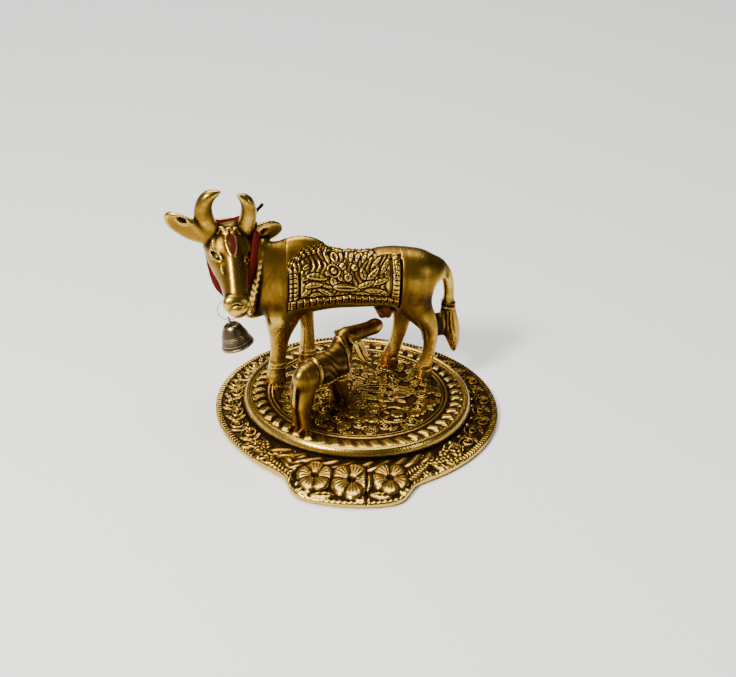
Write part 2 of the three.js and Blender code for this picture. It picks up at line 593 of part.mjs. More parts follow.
const ORNAMENT_RISE = 1;
const GADROON_SLANT = 0.5; // turn from the radius
const SCROLL_SLANTS = [2.4, 0.7]; // turns from the radius, one after the other
const WORN_PATCH = [-25, 30]; // degrees from the front where the lozenges are worn away

// Slanting lozenges round the field and curled leaves along the flange.
function borderShapes() {
  const shapes = [];
  for (let i = 0; i < GADROON_COUNT; i++) {
    const angle = (2 * Math.PI * (i + 0.5)) / GADROON_COUNT;
    const fromFront = THREE.MathUtils.radToDeg(angle) - 270;
    if (fromFront > WORN_PATCH[0] && fromFront < WORN_PATCH[1]) continue;
    const r = (fieldEdge() + DISC_RADIUS - BEAD_WIDTH) / 2 + 0.4;
    const at = [r * Math.cos(angle), r * Math.sin(angle), FIELD_HEIGHT - 0.3];
    const half = [GADROON_LENGTH / 2, GADROON_WIDTH / 2, ORNAMENT_RISE];
    shapes.push(lump(at, half, 4, 2, angle + GADROON_SLANT));
  }
  for (let i = 0; i < SCROLLS.count; i++) {
    const where = SCROLLS.from + ((SCROLLS.to - SCROLLS.from) * (i + 0.5)) / SCROLLS.count;
    const angle = degrees(where - 90);
    const r = (DISC_RADIUS + rimRadius(angle) - RIM_BAND) / 2;
    const at = [r * Math.cos(angle), r * Math.sin(angle), FLANGE_HEIGHT - 0.2];
    const half = [SCROLL_LENGTH / 2, SCROLL_WIDTH / 2, ORNAMENT_RISE];
    shapes.push(lump(at, half, 4, 2, angle + SCROLL_SLANTS[i % 2]));
  }
  return shapes;
}

const fieldEdge = () => DISC_RADIUS - BEAD_WIDTH - GADROON_BAND;

function plateShape() {
  const beadIn = DISC_RADIUS - BEAD_WIDTH;
  const beadTop = FIELD_HEIGHT + BEAD_RISE;
  const ceiling = FIELD_HEIGHT - FIELD_WALL;
  const footIn = DISC_RADIUS - FOOT_WIDTH;
  const line = fieldEdge();
  const profile = [
    [() => line, FIELD_HEIGHT],
    [() => line + LINE_WIDTH / 2, FIELD_HEIGHT + LINE_RISE],
    [() => line + LINE_WIDTH, FIELD_HEIGHT - 0.3],
    [() => beadIn, FIELD_HEIGHT - 0.2],
    [() => beadIn + 0.28 * BEAD_WIDTH, beadTop],
    [() => DISC_RADIUS - 0.28 * BEAD_WIDTH, beadTop - 0.1],
    [() => DISC_RADIUS + 0.7, FLANGE_HEIGHT + 0.6],
    [(rim) => rim - RIM_BAND - 0.7, FLANGE_HEIGHT - 0.5], [(rim) => rim - RIM_BAND, FLANGE_HEIGHT],
    [(rim) => rim - 0.5, FLANGE_HEIGHT - 0.4], [(rim) => rim, FLANGE_HEIGHT / 2],
    [(rim) => rim - 0.6, 0], [() => footIn, 0], [() => footIn - 1.4, ceiling],
  ];
  const angles = plateAngles(46);
  const rings = profile.map(([radius, z]) => angles.map((angle) => {
    const r = radius(rimRadius(angle));
    return vec(r * Math.cos(angle), r * Math.sin(angle), z);
  }));
  const body = solid(skin(rings, vec(0, 0, FIELD_HEIGHT), vec(0, 0, ceiling)));
  const ringAt = ([x, y], radius) => solid(new THREE.TorusGeometry(radius, HOOP_WIDTH / 2, 4, 10),
    new THREE.Matrix4().makeTranslation(x, y, FIELD_HEIGHT));
  const medallions = [
    ringAt(MEDALLION_AT, MEDALLION_RADIUS),
    lump([...MEDALLION_AT, FIELD_HEIGHT], [MEDALLION_BOSS, MEDALLION_BOSS, ORNAMENT_RISE], 6, 2),
    ringAt(ROUNDEL_AT, ROUNDEL_RADIUS),
  ];
  return join([body, ...borderShapes(), ...bloomShapes(), ...medallions]);
}

// The bell, from the middle of its crown loop downwards.
function bellShape() {
  const mouth = BELL_DIAMETER / 2;
  const outer = (share) => mouth * (0.34 + 0.44 * Math.min(1, share * 1.7) ** 0.6 + 0.22 * share ** 5);
  const loopDrop = BELL_LOOP_RADIUS + BELL_LOOP_WIRE / 4;
  const rows = 4;
  const profile = [new THREE.Vector2(0, -loopDrop)];
  for (let row = 0; row <= rows; row++) {
    profile.push(new THREE.Vector2(outer(row / rows), -loopDrop - BELL_HEIGHT * (row / rows)));
  }
  for (let row = rows; row >= 1; row--) {
    const depth = Math.max(BELL_HEIGHT * (row / rows), BELL_WALL * 1.5);
    profile.push(new THREE.Vector2(outer(row / rows) - BELL_WALL, -loopDrop - depth));
  }
  profile.push(new THREE.Vector2(0, -loopDrop - BELL_WALL * 1.5));
  const upright = new THREE.Matrix4().makeRotationX(Math.PI / 2);
  const cup = new THREE.LatheGeometry(profile.reverse(), 14);
  const eye = new THREE.TorusGeometry(BELL_LOOP_RADIUS, BELL_LOOP_WIRE / 2, 5, 9);
  return join([solid(cup, upright), solid(eye, new THREE.Matrix4().makeRotationY(Math.PI / 2))]);
}

// Flats in the field's carving, one under each hoof, from the last station of each leg.
function seatsUnder(legs, unit, place) {
  return legs.map((stations) => {
    const [x, y, , width, depth] = stations.at(-1);
    const at = vec(x, y, 0).multiplyScalar(unit).applyMatrix4(place);
    const half = [depth * unit + CLEARANCE, width * unit + CLEARANCE, 1];
    const turned = new THREE.Matrix4().extractRotation(place).setPosition(at.x, at.y, FIELD_HEIGHT + 1);
    const block = new THREE.CylinderGeometry(1, 1, 2, 8).rotateX(Math.PI / 2);
    return solid(block, scaled(turned, half));
  });
}

// The model

function piece(name, geometry, material) {
  const mesh = new THREE.Mesh(geometry, material);
  mesh.name = name;
  return mesh;
}

const cowUnit = COW_HEIGHT / 100;
const standing = FIELD_HEIGHT + CLEARANCE;
const back = degrees(COW_TURN);

const cow = piece('cow', surface(cowShape()), gilt);
cow.geometry.scale(cowUnit, cowUnit, cowUnit);

const headThread = piece('head_thread', surface(threadShape()), redThread);
headThread.geometry.scale(cowUnit, cowUnit, cowUnit);

// The loop hangs over the thread's lowest point and the bell over the loop's.
const lowest = vec(...THREAD_LOWEST).applyMatrix4(headPlace).multiplyScalar(cowUnit);
const hang = THREAD_THICKNESS - THREAD_FACE * cowUnit + CLEARANCE + RING_WIRE / 2;
const ringShape = new THREE.TorusGeometry(RING_RADIUS, RING_WIRE / 2, 5, 16);
const bellRing = piece('bell_ring', surface(solid(ringShape)), paleThread);
bellRing.position.copy(lowest).add(vec(0, 0, hang - RING_RADIUS));
bellRing.rotation.set(Math.PI / 2, 0, 0);

const bell = piece('bell', surface(bellShape()), agedBrass);
const ringInLoop = BELL_LOOP_RADIUS - BELL_LOOP_WIRE / 2 - RING_WIRE / 2 - CLEARANCE;
bell.position.copy(bellRing.position).add(vec(0, 0, -RING_RADIUS - ringInLoop));
bell.rotation.y = -degrees(BELL_TILT);

const cowGroup = new THREE.Group();
cowGroup.position.set(-COW_BACK * Math.sin(back), COW_BACK * Math.cos(back), standing);
cowGroup.rotation.z = back;
cowGroup.add(cow, headThread, bellRing, bell);

// The calf's muzzle is held below the cow's belly, beside the udder.
const calf = piece('calf', surface(calfShape()), gilt);
const calfUnit = CALF_HEIGHT / 100;
calf.geometry.scale(calfUnit, calfUnit, calfUnit);
const calfTurn = degrees(CALF_TURN);
const muzzle = vec(MUZZLE_AT[0], MUZZLE_AT[1], 0).multiplyScalar(cowUnit).applyAxisAngle(vec(0, 0, 1), back)
  .add(cowGroup.position);
const reach = vec(CALF_NOSE[0] * calfUnit, CALF_NOSE[1] * calfUnit, 0).applyAxisAngle(vec(0, 0, 1), calfTurn);
calf.position.set(muzzle.x - reach.x, muzzle.y - reach.y, standing);
calf.rotation.z = calfTurn;

cowGroup.updateMatrixWorld(true);
calf.updateMatrixWorld(true);
const seats = [
  ...seatsUnder(Object.values(LEGS), cowUnit, cowGroup.matrixWorld),
  ...seatsUnder(CALF_LEGS, calfUnit, calf.matrixWorld),
];
const base = piece('base', surface(plateShape().subtract(join(seats))), gilt);

const statue = new THREE.Group();
statue.add(base, cowGroup, calf);
statue.updateMatrixWorld(true);
const box = new THREE.Box3().setFromObject(statue, true);
statue.position.set(-(box.min.x + box.max.x) / 2, -(box.min.y + box.max.y) / 2, -box.min.z);

const model = new THREE.Group();
model.add(statue);

export default model;
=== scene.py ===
import bpy
import numpy as np
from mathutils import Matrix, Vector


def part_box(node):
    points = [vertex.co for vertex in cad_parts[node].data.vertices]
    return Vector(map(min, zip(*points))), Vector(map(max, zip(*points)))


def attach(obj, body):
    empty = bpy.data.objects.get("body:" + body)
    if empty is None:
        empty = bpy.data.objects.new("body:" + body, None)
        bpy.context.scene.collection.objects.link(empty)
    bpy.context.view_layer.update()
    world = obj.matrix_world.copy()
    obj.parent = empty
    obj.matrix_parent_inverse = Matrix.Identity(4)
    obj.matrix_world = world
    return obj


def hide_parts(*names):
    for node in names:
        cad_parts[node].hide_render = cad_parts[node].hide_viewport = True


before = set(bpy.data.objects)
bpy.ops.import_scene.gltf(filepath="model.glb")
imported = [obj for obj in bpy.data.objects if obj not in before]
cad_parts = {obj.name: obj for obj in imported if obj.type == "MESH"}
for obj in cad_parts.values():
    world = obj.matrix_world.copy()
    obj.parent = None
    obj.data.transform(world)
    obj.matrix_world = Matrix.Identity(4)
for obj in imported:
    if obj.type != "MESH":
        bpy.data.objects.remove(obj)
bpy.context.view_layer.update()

# The camera stands in front of the statue and above it, a little to the right of the plate's middle, and
# leans slightly. Its place was found from the round of the plate, the feet and the horns.
PLATE_RADIUS = 63.5
plate_low, plate_high = (1000 * np.array(corner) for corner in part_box("base"))
plate_centre = np.array([(plate_low[0] + plate_high[0]) / 2, plate_high[1] - PLATE_RADIUS, 0])
CAMERA_AT = (3.73, -430.08, 254.98)  # from the plate's centre, in millimetres
CAMERA_DROP = np.radians(27.16)
CAMERA_LEAN = np.radians(2.32)
CAMERA_LENS = 53.76
PICTURE_WIDTH = 36


def camera_axes():
    """The camera's right, up and backward directions: it looks along Y and down, then leans to one side."""
    level = np.array([1.0, 0.0, 0.0])
    forward = np.array([0.0, np.cos(CAMERA_DROP), -np.sin(CAMERA_DROP)])
    rise = np.cross(level, forward)
    right = np.cos(CAMERA_LEAN) * level + np.sin(CAMERA_LEAN) * rise
    up = np.cos(CAMERA_LEAN) * rise - np.sin(CAMERA_LEAN) * level
    return np.stack([right, up, -forward], axis=1)


def stand(name, data, axes, at):
    """Puts a camera or a lamp in the scene at a place in metres. Its axes are the columns of a matrix."""
    placed = np.eye(4)
    placed[:3, :3] = axes
    placed[:3, 3] = at
    standing = bpy.data.objects.new(name, data)
    standing.matrix_world = placed.T.tolist()
    bpy.context.scene.collection.objects.link(standing)
    return standing


lens = bpy.data.cameras.new("camera")
lens.sensor_width = PICTURE_WIDTH
lens.lens = CAMERA_LENS
lens.clip_start = 0.01
bpy.context.scene.camera = stand("camera", lens, camera_axes(), 0.001 * (np.array(CAMERA_AT) + plate_centre))

# The plate is one heavy casting, gilded and then darkened in its hollows. Its border is a raised roll, a
# steep step and a flat flange with a ribbed edge, scrolls, and flowers in high relief where it swells into a
# lobe. The cast surface is worn bright on all that stands out.
FIELD_HEIGHT = 7.3
FIELD_RADIUS = 48.45
ROLL_FROM = 48.6
ROLL_WIDTH = 3.2
FLANGE_HEIGHT = 3.0
FLANGE_FROM = 51.3
FOOT_RING_INSIDE = 50.9
DISC_SHARE = 0.982
DISC_BACK = 0.8
FRONT_SWELL = 5
SWELL_REACH = 38  # degrees to each side of the front
LOBE_AT = 91.2  # degrees round from the row's X axis, turned towards the statue's head
LOBE_LENGTH = 10.7
LOBE_REACH = 19.5  # degrees to each side of its middle
LOBE_SHOULDER = 1.9  # degrees that its shoulders take to fall away
RIM_RIBS = 216
SCROLLS = 30
SCROLLS_FROM = 42.5  # degrees round from the front
SCROLLS_OVER = 276
BORDER_COLUMNS = 1020
# Flowers of the lobe, drawn out towards its tip: middle, half width, height, turn, veins.
FLOWER_STRETCH = 1.4
LOBE_FLOWERS = [
    ((-15.4, -62.4), 7.8, 2.5, 0.35, 22), ((-0.6, -64.6), 8.9, 2.8, 1.2, 24),
    ((15.0, -61.8), 8.0, 2.4, -0.3, 22),
]
LOBE_LEAF_LENGTH = 1.35
LOBE_LEAF_WIDTH = 1.5
# Leaves and ferns of the lobe: middle, length and width before they're drawn out, turn, height, veins.
LOBE_LEAVES = [
    ((-24.2, -50.2), 13.0, 8.5, 75, 1.9, 5), ((-30.5, -57.2), 13.5, 5.2, 130, 1.6, 9),
    ((-25.0, -57.5), 7.5, 3.4, 55, 1.5, 4), ((-34.8, -50.2), 6.0, 2.8, 100, 1.3, 4),
    ((-19.0, -71.8), 7.5, 4.2, 20, 1.3, 5), ((-11.8, -74.4), 7.0, 3.8, 5, 1.2, 4),
    ((-8.0, -59.5), 7.5, 3.6, 60, 1.5, 5), ((-6.8, -55.6), 6.0, 2.6, 100, 1.4, 4),
    ((1.8, -58.6), 8.0, 3.6, 110, 1.6, 5), ((6.5, -55.3), 6.4, 2.8, 50, 1.4, 4),
    ((18.6, -54.4), 8.5, 4.2, 120, 1.6, 7), ((24.6, -57.4), 12.5, 5.6, 55, 1.7, 9),
    ((28.9, -51.6), 8.5, 3.6, 70, 1.5, 6), ((20.6, -69.6), 7.0, 4.0, -15, 1.2, 5),
    ((11.5, -73.2), 6.8, 3.6, -5, 1.2, 4), ((3.8, -76.0), 5.4, 3.0, 0, 1.0, 3),
    ((34.2, -47.8), 7.6, 4.2, 20, 1.6, 5), ((-39.0, -44.4), 6.5, 3.6, 140, 1.4, 4),
    ((-31.6, -45.6), 8.5, 4.2, 20, 1.5, 5), ((-37.8, -49.0), 9.0, 4.2, 60, 1.5, 5),
    ((-36.2, -54.6), 8.5, 3.6, 0, 1.4, 4), ((-43.0, -40.4), 8.0, 4.0, 30, 1.4, 5),
    ((-37.4, -40.6), 7.0, 3.4, 100, 1.4, 4), ((31.0, -46.2), 8.5, 4.2, 160, 1.5, 5),
    ((38.6, -45.2), 9.0, 4.4, 120, 1.5, 5), ((36.8, -52.0), 8.5, 3.6, 150, 1.4, 4),
    ((43.0, -40.0), 8.0, 4.0, 100, 1.4, 4), ((37.8, -39.8), 7.0, 3.4, 60, 1.4, 4),
    ((31.0, -58.4), 7.5, 3.6, 130, 1.4, 5), ((42.0, -46.0), 6.0, 3.0, 20, 1.3, 3),
    ((-1.0, -54.8), 5.0, 2.4, 90, 1.3, 3), ((-15.5, -54.4), 6.4, 3.0, 150, 1.4, 4),
    ((12.5, -53.8), 5.8, 2.6, 100, 1.3, 3),
]
# Buds of the lobe: middle and width.
LOBE_BALLS = [
    ((-25.4, -64.6), 3.4), ((-22.3, -67.6), 2.8), ((-28.6, -62.3), 2.4), ((24.6, -66.0), 3.2),
    ((28.5, -61.6), 2.6), ((31.8, -45.0), 3.2), ((-20.4, -57.8), 2.2), ((19.8, -60.6), 2.4),
]


def degrees_from(angle, before):
    """Degrees by which an angle lies past the direction found by the given turn back from the X axis."""
    return np.degrees((angle + before + np.pi) % (2 * np.pi) - np.pi)


def rim_radius(angle):
    """Distance from the plate's centre to its rim: a circle, a wide swell at the front and a lobe with soft
    shoulders."""
    away = degrees_from(angle, np.pi / 2)
    lobe_away = np.abs(degrees_from(angle, np.radians(LOBE_AT)))
    swell = FRONT_SWELL * np.exp(-(away / SWELL_REACH) ** 2)
    return PLATE_RADIUS + swell + LOBE_LENGTH / (1 + np.exp((lobe_away - LOBE_REACH) / LOBE_SHOULDER))


def smooth(x, low, high):
    """Rises smoothly from 0 at low to 1 at high."""
    share = np.clip((x - low) / (high - low), 0, 1)
    return share * share * (3 - 2 * share)


def mix(a, b, share):
    """Goes from a to b as the share rises from 0 to 1."""
    return a + (b - a) * share


def bump(x, width):
    """A rounded ridge of height 1 at x 0 that falls to 0 at half the width on each side."""
    return np.maximum(0, 1 - (2 * x / width) ** 2) ** 1.5


def about(x, y, at, turn):
    """Coordinates along and across a direction, from a point of the surface."""
    dx, dy = x - at[0], y - at[1]
    c, s = np.cos(turn), np.sin(turn)
    return c * dx + s * dy, c * dy - s * dx


def leaf(x, y, at, length, width, turn, veins=0):
    """A pointed leaf: a lens whose middle is creased, with slanting veins if it has any."""
    along, across = about(x, y, at, turn)
    share = np.clip(1 - (2 * along / length) ** 2, 0, 1)
    edge = width / 2 * share ** 0.8 + 1e-6
    inside = np.clip(1 - (across / edge) ** 2, 0, 1)
    height = inside ** 0.6 * (1 - 0.35 * np.exp(-(across / (0.12 * width)) ** 2))
    if veins:
        height = height * (0.88 + 0.12 * np.cos(2 * np.pi * veins * (along - 0.7 * np.abs(across)) / length))
    return np.where(share > 0, height, 0)


def flower(x, y, at, radius, petals, turn, veins=0):
    """A flower seen from above: round petals with creases between them, a pit in the middle and fine
    veins."""
    along, across = about(x, y, at, turn)
    r = np.hypot(along, across) / radius
    angle = np.arctan2(across, along)
    petal = np.abs(np.cos(petals * angle / 2))
    edge = 0.84 + 0.16 * petal ** 0.6
    height = np.clip(1 - (r / edge) ** 6, 0, 1) ** 0.5
    height = height * (0.66 + 0.34 * petal ** 0.3) * (0.66 + 0.34 * np.minimum(r, 1))
    if veins:
        creases = (0.5 + 0.5 * np.cos(veins * angle)) ** 2 * smooth(r, 0.12, 0.3) * smooth(-r, -0.95, -0.6)
        height = height * (1 - 0.11 * creases)
    return height * smooth(r, 0, 0.26)


def spiral(x, y, at, radius, turns, turn, width):
    """A coiled ridge that winds inwards from its outer end."""
    along, across = about(x, y, at, turn)
    r = np.hypot(along, across)
    pitch = radius / (turns + 0.35)
    phase = (r / pitch - np.arctan2(across, along) / (2 * np.pi)) % 1.0
    ridge = bump((phase - 0.5) * pitch, width)
    return ridge * (r < radius) + bump(r, 1.6 * width) * (r < radius)


def hoop(x, y, at, radius, width):
    """A raised ring."""
    return bump(np.hypot(x - at[0], y - at[1]) - radius, width)


def scroll_relief(x, y):
    """The scrolls of the flange: coils that turn in and out by turns, each with two leaves and a berry."""
    relief = np.zeros_like(x)
    for i in range(SCROLLS):
        turn = np.radians(SCROLLS_FROM + SCROLLS_OVER / SCROLLS * (i + 0.5) - 90)
        out = np.array([np.cos(turn), np.sin(turn)])
        side = np.array([-out[1], out[0]])
        at = (FLANGE_FROM + 0.3 + rim_radius(turn) - 2.9) / 2 * out
        near = np.hypot(x - at[0], y - at[1]) < 8
        px, py = x[near], y[near]
        flip = 1 if i % 2 else -1
        berry = at + 2.4 * side + 2.6 * flip * out
        shape = np.maximum.reduce([
            1.15 * spiral(px, py, at + 1.1 * flip * out, 3.4, 1.25, turn + 2.2 * flip, 1.5),
            1.1 * leaf(px, py, at + 3.4 * side - 1.9 * flip * out, 7.4, 2.8, turn + 0.9 * flip, 3),
            0.95 * leaf(px, py, at + 4.2 * side + 2.6 * flip * out, 5.6, 2.4, turn - 0.5 * flip),
            0.9 * bump(np.hypot(px - berry[0], py - berry[1]), 1.7)])
        relief[near] = np.maximum(relief[near], shape)
    return relief


def lobe_relief(x, y, r, away):
    """What stands on the lobe: a fringe of slanting ridges along the step, three flowers, leaves, ferns and
    buds."""
    fringe = 0.5 + 0.5 * np.cos(46 * np.arctan2(x, -y) + 1.1 * r)
    relief = (0.7 * fringe ** 0.7 + 0.9) * smooth(-r, -60, -56) * smooth(-np.abs(away), -42, -36)
    for (across, back), reach, tall, turn, veins in LOBE_FLOWERS:
        at = (across, back / FLOWER_STRETCH)
        relief = np.maximum(relief, tall * flower(x, y / FLOWER_STRETCH, at, reach, 5, turn, veins))
    for at, length, width, turn, tall, veins in LOBE_LEAVES:
        near = np.hypot(x - at[0], y - at[1]) < length
        sizes = LOBE_LEAF_LENGTH * length, LOBE_LEAF_WIDTH * width
        shape = tall * leaf(x[near], y[near], at, *sizes, np.radians(turn), veins)
        relief[near] = np.maximum(relief[near], shape)
    for at, size in LOBE_BALLS:
        relief = np.maximum(relief, 1.5 * bump(np.hypot(x - at[0], y - at[1]), size))
    return relief


def flange_relief(x, y):
    """Height above the table over the flange: level ground with a ribbed edge, the scrolls along the round,
    and on the lobe the flowers, parted by one deep crack. Ornament is laid on the ground by taking the
    higher."""
    angle = np.arctan2(y, x)
    r = np.hypot(x, y)
    inward = rim_radius(angle) - r
    away = degrees_from(angle, np.pi / 2)
    lobe = smooth(-np.abs(away), -44, -36)
    ground = FLANGE_HEIGHT - 1.0 + 1.1 * smooth(-r, -54.5, -FLANGE_FROM)
    ribs = 0.5 + 0.5 * np.cos(RIM_RIBS * angle + 0.5 * inward)
    ribbed = FLANGE_HEIGHT - 0.95 + 1.05 * ribs ** 1.3 * smooth(inward, 0.1, 0.7) * (1 - 0.6 * lobe)
    ground = mix(ground, ribbed, smooth(-inward, -3.0, -2.5))
    ground = ground + 0.3 * lobe * smooth(-inward, -2.2, -1.2)
    height = ground + 1.25 * (scroll_relief(x, y) * smooth(inward, 2.6, 3.1)) * smooth(np.abs(away), 38, 42)
    crack = np.exp(-((x - 5.6) / 0.45) ** 2) * smooth(-y, 57, 60)
    return np.maximum(height, FLANGE_HEIGHT - 0.7 + lobe_relief(x, y, r, away)) - 1.2 * crack * lobe


def border_rows():
    """The border's profile as rows of (fixed radius, share of the way to the rim, height above its own
    surface). It runs out over the roll and the flange, round the edge, back underneath and up inside the
    foot ring."""
    rows = [(FIELD_RADIUS, 0, 4.2), (FIELD_RADIUS, 0, 6.2)]
    for share in np.linspace(0, 1, 13):
        bow = np.sin(np.pi * share) ** 0.75
        rows.append((ROLL_FROM + ROLL_WIDTH * share, 0, FIELD_HEIGHT - 0.3 - 0.9 * share ** 3 + 1.15 * bow))
    rows += [(52.0, 0, 5.6), (52.1, 0, 5.0), (52.2, 0, 4.2), (52.25, 0, 3.2)]
    rows += [(FLANGE_FROM, share, None) for share in np.linspace(0.012, 0.985, 50)]
    rows += [(FLANGE_FROM, 1.0, 1.9), (FLANGE_FROM, 1.0, 0.9)]
    rows += [(FLANGE_FROM - 0.5, 1.0, 0.25), (FLANGE_FROM - 0.8, 1.0, 0.0)]
    rows += [(FOOT_RING_INSIDE + 0.4, share, 0.0) for share in (0.7, 0.35, 0.0)]
    rows += [(FOOT_RING_INSIDE, 0, 0.3), (49.6, 0, 3.7), (49.0, 0, 3.8)]
    return rows


def on_disc(x, y):
    """Places of the raised disc, which is a little smaller than its step and set back from the rim's
    centre."""
    return DISC_SHARE * x, DISC_SHARE * y + DISC_BACK


def border_points(columns):
    """Points of the border: each row of the profile carried round the plate, its flange rows given their
    height by the relief."""
    angles = 2 * np.pi * np.arange(columns) / columns
    rim = rim_radius(angles)
    grid = []
    for radius, share, height in border_rows():
        r = radius + (rim - FLANGE_FROM) * share
        x, y = r * np.cos(angles), r * np.sin(angles)
        if height is not None and share == 0 and height > 2:
            x, y = on_disc(x, y)
        z = flange_relief(x, y) if height is None else np.full(columns, height)
        grid.append(np.stack([x, y, z], axis=1))
    return np.array(grid)


def grid_quads(rows, columns, close_rows=False, close_columns=False, start=0):
    """Four-sided faces between neighbouring rows and columns of a grid, with the last joined to the first
    where it closes."""
    row = np.arange(rows if close_rows else rows - 1)[:, None]
    column = np.arange(columns if close_columns else columns - 1)[None, :]
    next_row, next_column = (row + 1) % rows, (column + 1) % columns
    corners = [row * columns + column, row * columns + next_column, next_row * columns + next_column,
               next_row * columns + column]
    return start + np.stack(np.broadcast_arrays(*corners), axis=-1).reshape(-1, 4)


def neighbour_mean(values, edges, count):
    """Each point's mean of the values at the points that an edge joins it to."""
    a, b = edges[:, 0], edges[:, 1]
    total = np.stack([np.bincount(a, values[b, k], count) + np.bincount(b, values[a, k], count)
                      for k in range(values.shape[1])], axis=1)
    return total / (np.bincount(a, minlength=count) + np.bincount(b, minlength=count))[:, None]


def hollowness(mesh, points, fine, broad):
    """How deep each point lies below its surroundings: the surface is smoothed twice, a little and a lot,
    and the distance from the point out to each smoothed surface is counted, scaled so that 0.5 is level."""
    edges = np.empty(2 * len(mesh.edges), dtype=np.int64)
    mesh.edges.foreach_get("vertices", edges)
    edges = edges.reshape(-1, 2)
    normals = np.empty(3 * len(points))
    mesh.vertex_normals.foreach_get("vector", normals)
    normals = normals.reshape(-1, 3)
    smoothed = points
    depth = np.zeros(len(points))
    for rounds, weight in ((4, fine), (20, broad)):
        for _ in range(rounds):
            smoothed = neighbour_mean(smoothed, edges, len(points))
        depth += weight * np.einsum("ij,ij->i", smoothed - points, normals)
    return np.clip(0.5 + depth, 0, 1)


def add_piece(name, points, quads, material, triangles=None, fine=2.6, broad=1.1, extra=None):
    """Puts in a closed mesh: points in millimetres, faces as point numbers. It rides on the one body, and
    carries its hollowness, with a given extra darkening added, which on some pieces is painted shade, and any
    further values as attributes of its points."""
    if triangles is None:
        triangles = np.empty((0, 3), dtype=np.int64)
    mesh = bpy.data.meshes.new(name)
    mesh.vertices.add(len(points))
    mesh.vertices.foreach_set("co", (0.001 * points).ravel())
    corners = np.concatenate([quads.ravel(), triangles.ravel()])
    sizes = np.concatenate([np.full(len(quads), 4), np.full(len(triangles), 3)])
    mesh.loops.add(len(corners))
    mesh.loops.foreach_set("vertex_index", corners)
    mesh.polygons.add(len(sizes))
    mesh.polygons.foreach_set("loop_start", np.cumsum(sizes) - sizes)
    mesh.update(calc_edges=True)
    mesh.validate()
    mesh.shade_smooth()
    values = dict(extra or {})
    # Painted shade, where a piece is given it, is added to the hollowness here and darkens the colour with
    # it.
    values["hollow"] = hollowness(mesh, points, fine, broad) + values.pop("darkening", 0)
    for key, value in values.items():
        mesh.attributes.new(key, "FLOAT", "POINT").data.foreach_set("value", value.astype(np.float32))
    mesh.materials.append(material)
    piece = bpy.data.objects.new(name, mesh)
    bpy.context.scene.collection.objects.link(piece)
    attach(piece, "root")
    return piece


def add_node(tree, kind, settings=None, values=None):
    """A shader node with its settings, and the values of the inputs that nothing is joined to."""
    node = tree.nodes.new("ShaderNode" + kind)
    for key, value in (settings or {}).items():
        setattr(node, key, value)
    for key, value in (values or {}).items():
        node.inputs[key].default_value = value
    return node


def link(tree, source, target):
    """Joins two sockets given as (node, socket name)."""
    tree.links.new(source[0].outputs[source[1]], target[0].inputs[target[1]])


def ramp(tree, stops):
    """A colour ramp from (position, colour) pairs."""
    node = add_node(tree, "ValToRGB")
    elements = node.color_ramp.elements
    while len(elements) < len(stops):
        elements.new(0.5)
    for element, (position, colour) in zip(elements, stops):
        element.position = position
        element.color = (*colour, 1)
    return node


def tarnish_group():
    """The aged surface as a node group: from a point's hollowness, with any painted shade added to it, it
    gives how dark the metal is, its roughness and the grain of the casting. Soft cloudy stains and fine
    specks shift where the dark begins."""
    group = bpy.data.node_groups.new("tarnish", "ShaderNodeTree")
    for name, way, kind in (("Hollow and shade", "INPUT", "Float"), ("Dark", "OUTPUT", "Float"),
                            ("Roughness", "OUTPUT", "Float"), ("Normal", "OUTPUT", "Vector")):
        group.interface.new_socket(name, in_out=way, socket_type="NodeSocket" + kind)
    given = group.nodes.new("NodeGroupInput")
    result = group.nodes.new("NodeGroupOutput")
    place = add_node(group, "TexCoord")
    clouds = add_node(group, "TexNoise", values={"Scale": 160, "Detail": 5})
    link(group, (place, "Object"), (clouds, "Vector"))
    grain = add_node(group, "TexNoise", values={"Scale": 1500, "Detail": 3})
    link(group, (place, "Object"), (grain, "Vector"))
    darkening = add_node(group, "Math", {"operation": "MULTIPLY_ADD"}, {1: 0.26, 2: -0.13})
    link(group, (clouds, "Fac"), (darkening, 0))
    speck = add_node(group, "Math", {"operation": "MULTIPLY_ADD"}, {1: 0.16})
    link(group, (grain, "Fac"), (speck, 0))
    link(group, (darkening, "Value"), (speck, 2))
    dark = add_node(group, "Math", {"operation": "ADD"})
    link(group, (given, "Hollow and shade"), (dark, 0))
    link(group, (speck, "Value"), (dark, 1))
    link(group, (dark, "Value"), (result, "Dark"))
    rough = add_node(group, "MapRange",
                     values={"From Min": 0.3, "From Max": 0.85, "To Min": 0.25, "To Max": 0.62})
    link(group, (dark, "Value"), (rough, "Value"))
    link(group, (rough, "Result"), (result, "Roughness"))
    relief = add_node(group, "Bump", values={"Strength": 0.22, "Distance": 0.0004})
    link(group, (grain, "Fac"), (relief, "Height"))
    link(group, (relief, "Normal"), (result, "Normal"))
    return group


tarnish = tarnish_group()
# Colours of the gilding from worn bright to black in the hollows.
GILT = [(0.2, (0.6, 0.39, 0.075)), (0.42, (0.25, 0.14, 0.014)), (0.56, (0.155, 0.079, 0.008)),
        (0.7, (0.055, 0.025, 0.004)), (0.88, (0.015, 0.008, 0.003))]
COPPER_TINGE = (0.62, 0.3, 0.2, 1)
RED_PAINT = (0.055, 0.005, 0.003, 1)


def new_material(name, values):
    """A material with its node tree and its surface, which has the given values."""
    material = bpy.data.materials.new(name)
    material.use_nodes = True
    surface = material.node_tree.nodes["Principled BSDF"]
    for key, value in values.items():
        surface.inputs[key].default_value = value
    return material, material.node_tree, surface


